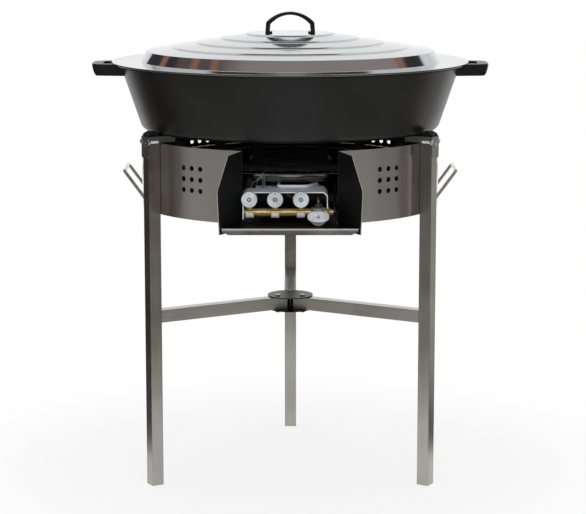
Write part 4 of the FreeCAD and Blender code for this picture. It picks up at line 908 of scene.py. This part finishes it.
# %% [markdown]
# ## Two-sided sheet
# The shield and the hood are bare stainless outside and black inside. A second material on the faces that
# look inwards gives that. The shield's top edge in its rear half, under the pan, is black too: painted
# shade.
# The cheeks' cut front edges stay bare and dull, and the lip of the hood's floor gets the steel with the
# painted highlight. A small test on a face's middle and normal says which faces are meant.

# %% Black insides, and painted shade on the shield's rear top edge
FACING = 0.6  # least part of a face's normal that points the way that is asked for
RIM_HEIGHT = 0.01
# From here back, the shield's top edge carries painted shade.
SHADED_REAR_FROM = 0.1
LIP_DEPTH = 0.02


def paint_faces(node, finish, is_meant):
    """Give the faces that is_meant accepts one more material."""
    mesh = bpy.data.objects[node + "_dressed"].data
    mesh.materials.append(finish.material)
    painted = 0
    for polygon in mesh.polygons:
        if is_meant(polygon.center, polygon.normal):
            polygon.material_index = len(mesh.materials) - 1
            painted += 1
    print(node, "painted faces:", painted, "of", len(mesh.polygons))


def is_inside_or_shaded_top(centre, normal):
    radial = (centre.x * normal.x + centre.y * normal.y) / math.hypot(centre.x, centre.y)
    is_floor_rim = normal.z > FACING and centre.z < shield_low[2] + RIM_HEIGHT
    # Painted shade: the shield's top edge in its rear half, under the pan, is made black.
    is_shaded_rear_top = normal.z > FACING and centre.y > SHADED_REAR_FROM
    return radial < -FACING or is_floor_rim or is_shaded_rear_top


def is_cut_edge(centre, normal):
    return normal.y < -0.3 and abs(normal.x) < 0.75 and centre.y < -shield_high[1]


paint_faces("wind_shield", hood_black, is_inside_or_shaded_top)
paint_faces("hood_cheek_left", hood_black, lambda centre, normal: normal.x > FACING)
paint_faces("hood_cheek_right", hood_black, lambda centre, normal: normal.x < -FACING)
for side in ("left", "right"):
    paint_faces("hood_cheek_" + side, valve_dark, is_cut_edge)
hood_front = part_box("hood_floor")[0][1]
paint_faces("hood_floor", lip_steel,
            lambda centre, normal: centre.y < hood_front + LIP_DEPTH and normal.y < -0.5)

# %% [markdown]
# ## Half-painted pieces, and painted shade on the arms
# The support arms' side faces are near black under the pan: painted shade and a painted reflection of the
# dark inside of the shield. Their tops, and the ends where they clasp the legs, stay bare. The mesh is cut
# once across each arm, so that the painted shade ends on a clean line. The capillary has a black sleeve
# above the valve, and the pilot tube is dull steel below the canopy.

# %% Painted shade on the arms, the capillary's sleeve and the pilot tube
# Inside this distance from the axis the arms' side faces carry painted shade.
ARM_SHADE_REACH = 0.268
SLEEVE_RISE = 0.012
PILOT_DROP = 0.004


def is_shaded_arm_side(centre, normal):
    return math.hypot(centre.x, centre.y) < ARM_SHADE_REACH and abs(normal.z) < 0.7


for leg in LEGS:
    arm = "support_arm_" + leg
    mesh = bpy.data.objects[arm + "_dressed"].data
    outward = direction_of(leg)
    work = bmesh.new()
    work.from_mesh(mesh)
    bmesh.ops.bisect_plane(work, geom=work.verts[:] + work.edges[:] + work.faces[:],
                           plane_co=outward * ARM_SHADE_REACH, plane_no=outward)
    work.to_mesh(mesh)
    work.free()
    paint_faces(arm, arm_painted_shade, is_shaded_arm_side)
sleeve_from = valve_high[2] + SLEEVE_RISE
paint_faces("thermocouple", sleeve_black, lambda centre, normal: centre.z > sleeve_from)
pilot_below = canopy_high[2] - PILOT_DROP
paint_faces("pilot_tube", nut_steel, lambda centre, normal: centre.z < pilot_below)

# %% [markdown]
# ## Studio
# The object stands on a pale floor in soft light. The world is white to the camera and to mirror-like rays,
# and lights the rest at a plain level. Far from the object the floor turns into pure white, so no edge of it
# shows, but near the object it keeps the shadow.

# %% Floor
HALF_FLOOR = 40.0
FLOOR_GLOW = 0.8  # share of plain white in the floor beside the object
WHITE = (1.0, 1.0, 1.0)
floor_mesh = bpy.data.meshes.new("floor")
floor_corners = [(-1, -1), (1, -1), (1, 1), (-1, 1)]
floor_spots = [(across * HALF_FLOOR, along * HALF_FLOOR, 0) for across, along in floor_corners]
floor_mesh.from_pydata(floor_spots, [], [(0, 1, 2, 3)])
floor = bpy.data.objects.new("floor", floor_mesh)
bpy.context.scene.collection.objects.link(floor)
floor_finish = Finish("floor_paint", Base_Color=(0.93, 0.93, 0.93), Roughness=0.8, Specular_IOR_Level=0.1)
glow_share = FLOOR_GLOW + floor_finish.reach().between(0.35, 0.9) * (1 - FLOOR_GLOW)
glow = floor_finish.node("ShaderNodeEmission", values={"Color": WHITE, "Strength": 1.0})
floor_mix = floor_finish.node("ShaderNodeMixShader", values=[
    glow_share, floor_finish.shader.outputs[0], glow.outputs[0]])
floor_finish.feed(floor_finish.tree.nodes["Material Output"].inputs["Surface"], floor_mix.outputs[0])
floor_mesh.materials.append(floor_finish.material)
print("floor laid")

# %% World
PLAIN_LEVEL = 0.55
world = bpy.data.worlds.new("studio")
bpy.context.scene.world = world
world.use_nodes = True
sky = Shading(world.node_tree)
ray = sky.node("ShaderNodeLightPath").outputs
seen = Signal(sky, ray["Is Camera Ray"])
for kind in ("Is Glossy Ray", "Is Transmission Ray"):
    seen = seen + Signal(sky, ray[kind])
level = sky.node("ShaderNodeMapRange", {"clamp": True},
                 {"Value": seen, "To Min": PLAIN_LEVEL, "To Max": 1.0})
background = world.node_tree.nodes["Background"]
sky.feed(background.inputs["Color"], WHITE)
sky.feed(background.inputs["Strength"], level.outputs["Result"])
print("world ready")

# %% [markdown]
# ## Dark side of the studio
# Polished metal shows its surroundings. In a real studio only the paper behind the object is white. The room
# on the camera's side is dim, and it gives the lid its dark band and the shield its grey. Here one
# bowl-shaped panel stands round the camera's side, and what it shows is painted on it. Only reflections see
# it, so it neither shows in the picture nor takes light away.

# %% Shape of the panel
PANEL_PROFILE = [(0.45, 0.012), (1.0, 0.012), (2.0, 0.012), (6.0, 0.012), (6.0, 2.6), (5.3, 4.2), (3.9, 5.6),
                 (2.2, 6.4), (0.6, 6.7)]  # distance from the stand's axis, height
PANEL_SPAN_DEGREES = 146  # to each side of the front
PANEL_STEPS = 36
panel_work = bmesh.new()
columns = []
for index in range(-PANEL_STEPS, PANEL_STEPS + 1):
    turn = math.radians(PANEL_SPAN_DEGREES * index / PANEL_STEPS)
    columns.append([panel_work.verts.new((reach * math.sin(turn), -reach * math.cos(turn), height))
                    for reach, height in PANEL_PROFILE])
for first, second in zip(columns, columns[1:]):
    for step in range(len(PANEL_PROFILE) - 1):
        panel_work.faces.new([first[step], second[step], second[step + 1], first[step + 1]])
panel_mesh = bpy.data.meshes.new("dim_panel")
panel_work.to_mesh(panel_mesh)
panel_work.free()
panel = bpy.data.objects.new("dim_panel", panel_mesh)
bpy.context.scene.collection.objects.link(panel)
for kind in ("camera", "diffuse", "transmission", "volume_scatter", "shadow"):
    setattr(panel, "visible_" + kind, False)
print("panel spans", 2 * PANEL_SPAN_DEGREES, "degrees")

# %% [markdown]
# ## The room on the panel
# The upper part of the panel is a plain room: a pale wall ahead that turns brown to the left, dark corners,
# a few wooden doorways, a window far to the right and a ceiling above a slightly curved line. Straight ahead
# a small bright glint stands for the lamp beside the camera, which gives the brass its highlight. Every part
# is placed by its angle from the front, `turn`, or by its angle above the lid's height, `rise`.

# %% Walls and ceiling
PALE_WALL = (0.38, 0.33, 0.31)
BROWN_WALL = (0.15, 0.115, 0.105)
DARK_CORNER = (0.055, 0.046, 0.050)
WOOD = (0.40, 0.20, 0.14)
LOW_WALL = (0.085, 0.075, 0.070)
DIM_CEILING = (0.10, 0.055, 0.048)
GLINT = (2.6, 2.55, 2.5)
DOORWAY_DEGREES = (-124, -93, -75, 106)
LID_HEIGHT = 0.85
BROWNING, CORNER, WINDOW, SIDE_CEILING = (0.7, 1.4), (1.87, 1.98), (2.25, 2.32), (1.45, 1.6)  # turn
DOORWAY_EDGE = (0.03, 0.08)
LOW_WALL_EDGE, CEILING_EDGE = (0.25, 0.6), (-0.04, 0.04)  # rise
panel_finish = Finish("dim_panel", Base_Color=(0.0, 0.0, 0.0), Roughness=1.0, Specular_IOR_Level=0.0,
                      Emission_Strength=1.0)
panel_x, panel_y, panel_z = panel_finish.axes()
panel_reach = panel_finish.reach()
turn = panel_x.angle_over(panel_y * -1.0)
leftward = turn * -1.0
aside = turn.absolute()
rise = (panel_z - LID_HEIGHT).angle_over(panel_reach)

room = panel_finish.blend(leftward.between(*BROWNING), PALE_WALL, BROWN_WALL)
for way in (leftward, turn):
    room = panel_finish.blend(way.between(*CORNER), room, DARK_CORNER)
for degrees in DOORWAY_DEGREES:
    from_doorway = (turn - math.radians(degrees)).absolute()
    room = panel_finish.blend(from_doorway.between(*DOORWAY_EDGE), WOOD, room)
room = panel_finish.blend(turn.between(*WINDOW), room, WHITE)
room = panel_finish.blend((rise + aside * 0.12).between(*LOW_WALL_EDGE), LOW_WALL, room)
ceiling = panel_finish.blend(aside.between(*SIDE_CEILING), DIM_CEILING, WHITE)
ceiling_line = 1.24 - aside * 0.20 - aside * aside * 0.055
room = panel_finish.blend((rise - ceiling_line).between(*CEILING_EDGE), room, ceiling)
glint = (1 - aside.between(0.12, 0.18)) * rise.between(0.12, 0.20) * (1 - rise.between(0.38, 0.46))
room = panel_finish.blend(glint, room, GLINT)
print("doorways at", *DOORWAY_DEGREES, "degrees")

# %% [markdown]
# ## The ground on the panel
# The legs and the shield mirror the ground round the stand. It is white paper close by and fades into a dim
# floor further out, sooner at the sides than ahead. A paler strip on each side puts the soft upright line on
# the legs, and behind the stand it is white again.

# %% Ground
FAR_AHEAD = (0.19, 0.18, 0.17)
NEAR_ASIDE, FAR_ASIDE = (0.64, 0.62, 0.59), (0.26, 0.25, 0.235)
NEAR_BESIDE, FAR_BESIDE = (0.08, 0.076, 0.072), (0.050, 0.036, 0.031)
RIGHT_REAR = (0.56, 0.55, 0.52)
LEFT_STRIP, RIGHT_STRIP = (0.26, 0.255, 0.25), (0.20, 0.19, 0.18)
AHEAD_FADE, ASIDE_FADE, BESIDE_FADE = (0.4, 1.5), (0.5, 1.4), (0.8, 2.0)  # metres from the stand's axis
FROM_AHEAD, FROM_ASIDE, FROM_BEHIND, RIGHT_SIDE = (0.3, 0.6), (1.35, 1.75), (2.3, 2.5), (1.65, 2.0)  # turn
GROUND_EDGE = (0.05, 0.4)
ahead = panel_finish.blend(panel_reach.between(*AHEAD_FADE), WHITE, FAR_AHEAD)
to_side = panel_finish.blend(panel_reach.between(*ASIDE_FADE), NEAR_ASIDE, FAR_ASIDE)
ahead = panel_finish.blend(aside.between(*FROM_AHEAD), ahead, to_side)
strip = panel_reach.between(2.2, 3.0) * aside.between(1.08, 1.18) * (1 - aside.between(1.42, 1.55))
strip_colour = panel_finish.blend(turn.between(-0.2, 0.2), LEFT_STRIP, RIGHT_STRIP)
ahead = panel_finish.blend(strip, ahead, strip_colour)
beside = panel_finish.blend(panel_reach.between(*BESIDE_FADE), NEAR_BESIDE, FAR_BESIDE)
beside = panel_finish.blend(turn.between(*RIGHT_SIDE), beside, RIGHT_REAR)
ground = panel_finish.blend(aside.between(*FROM_ASIDE), ahead, beside)
ground = panel_finish.blend(aside.between(*FROM_BEHIND), ground, WHITE)
panel_finish.set(Emission_Color=panel_finish.blend(panel_z.between(*GROUND_EDGE), ground, room))
panel_mesh.materials.append(panel_finish.material)
print("panel painted with", len(panel_finish.tree.nodes), "nodes")

# %% [markdown]
# ## Lamps
# Large soft boxes stand left, right and in front, and one hangs above, as for a catalogue picture. The front
# and top ones aren't seen in mirrors, because they would lay bright patches on the legs and the lid.

# %% Soft boxes
def softbox(name, place, target, size, power, mirrored=True):
    lamp_data = bpy.data.lights.new(name, "AREA")
    lamp_data.shape = "RECTANGLE"
    lamp_data.size, lamp_data.size_y = size
    lamp_data.energy = power
    lamp = bpy.data.objects.new(name, lamp_data)
    lamp.visible_glossy = mirrored
    lamp.location = place
    lamp.rotation_euler = (Vector(target) - Vector(place)).to_track_quat("-Z", "Y").to_euler()
    bpy.context.scene.collection.objects.link(lamp)
    print(name, power, "W")


STAND_MIDDLE = (0, 0, 0.6)
softbox("left_box", (-2.0, -2.8, 2.2), STAND_MIDDLE, (1.6, 1.6), 6)
softbox("right_box", (2.0, -2.7, 2.1), STAND_MIDDLE, (1.6, 1.6), 6)
softbox("front_box", (0.2, -3.6, 1.5), STAND_MIDDLE, (1.4, 1.0), 34, mirrored=False)
softbox("top_box", (0, 0.4, 3.2), (0, 0, 0.5), (2.4, 2.4), 16, mirrored=False)
bpy.context.scene.view_settings.view_transform = "Standard"
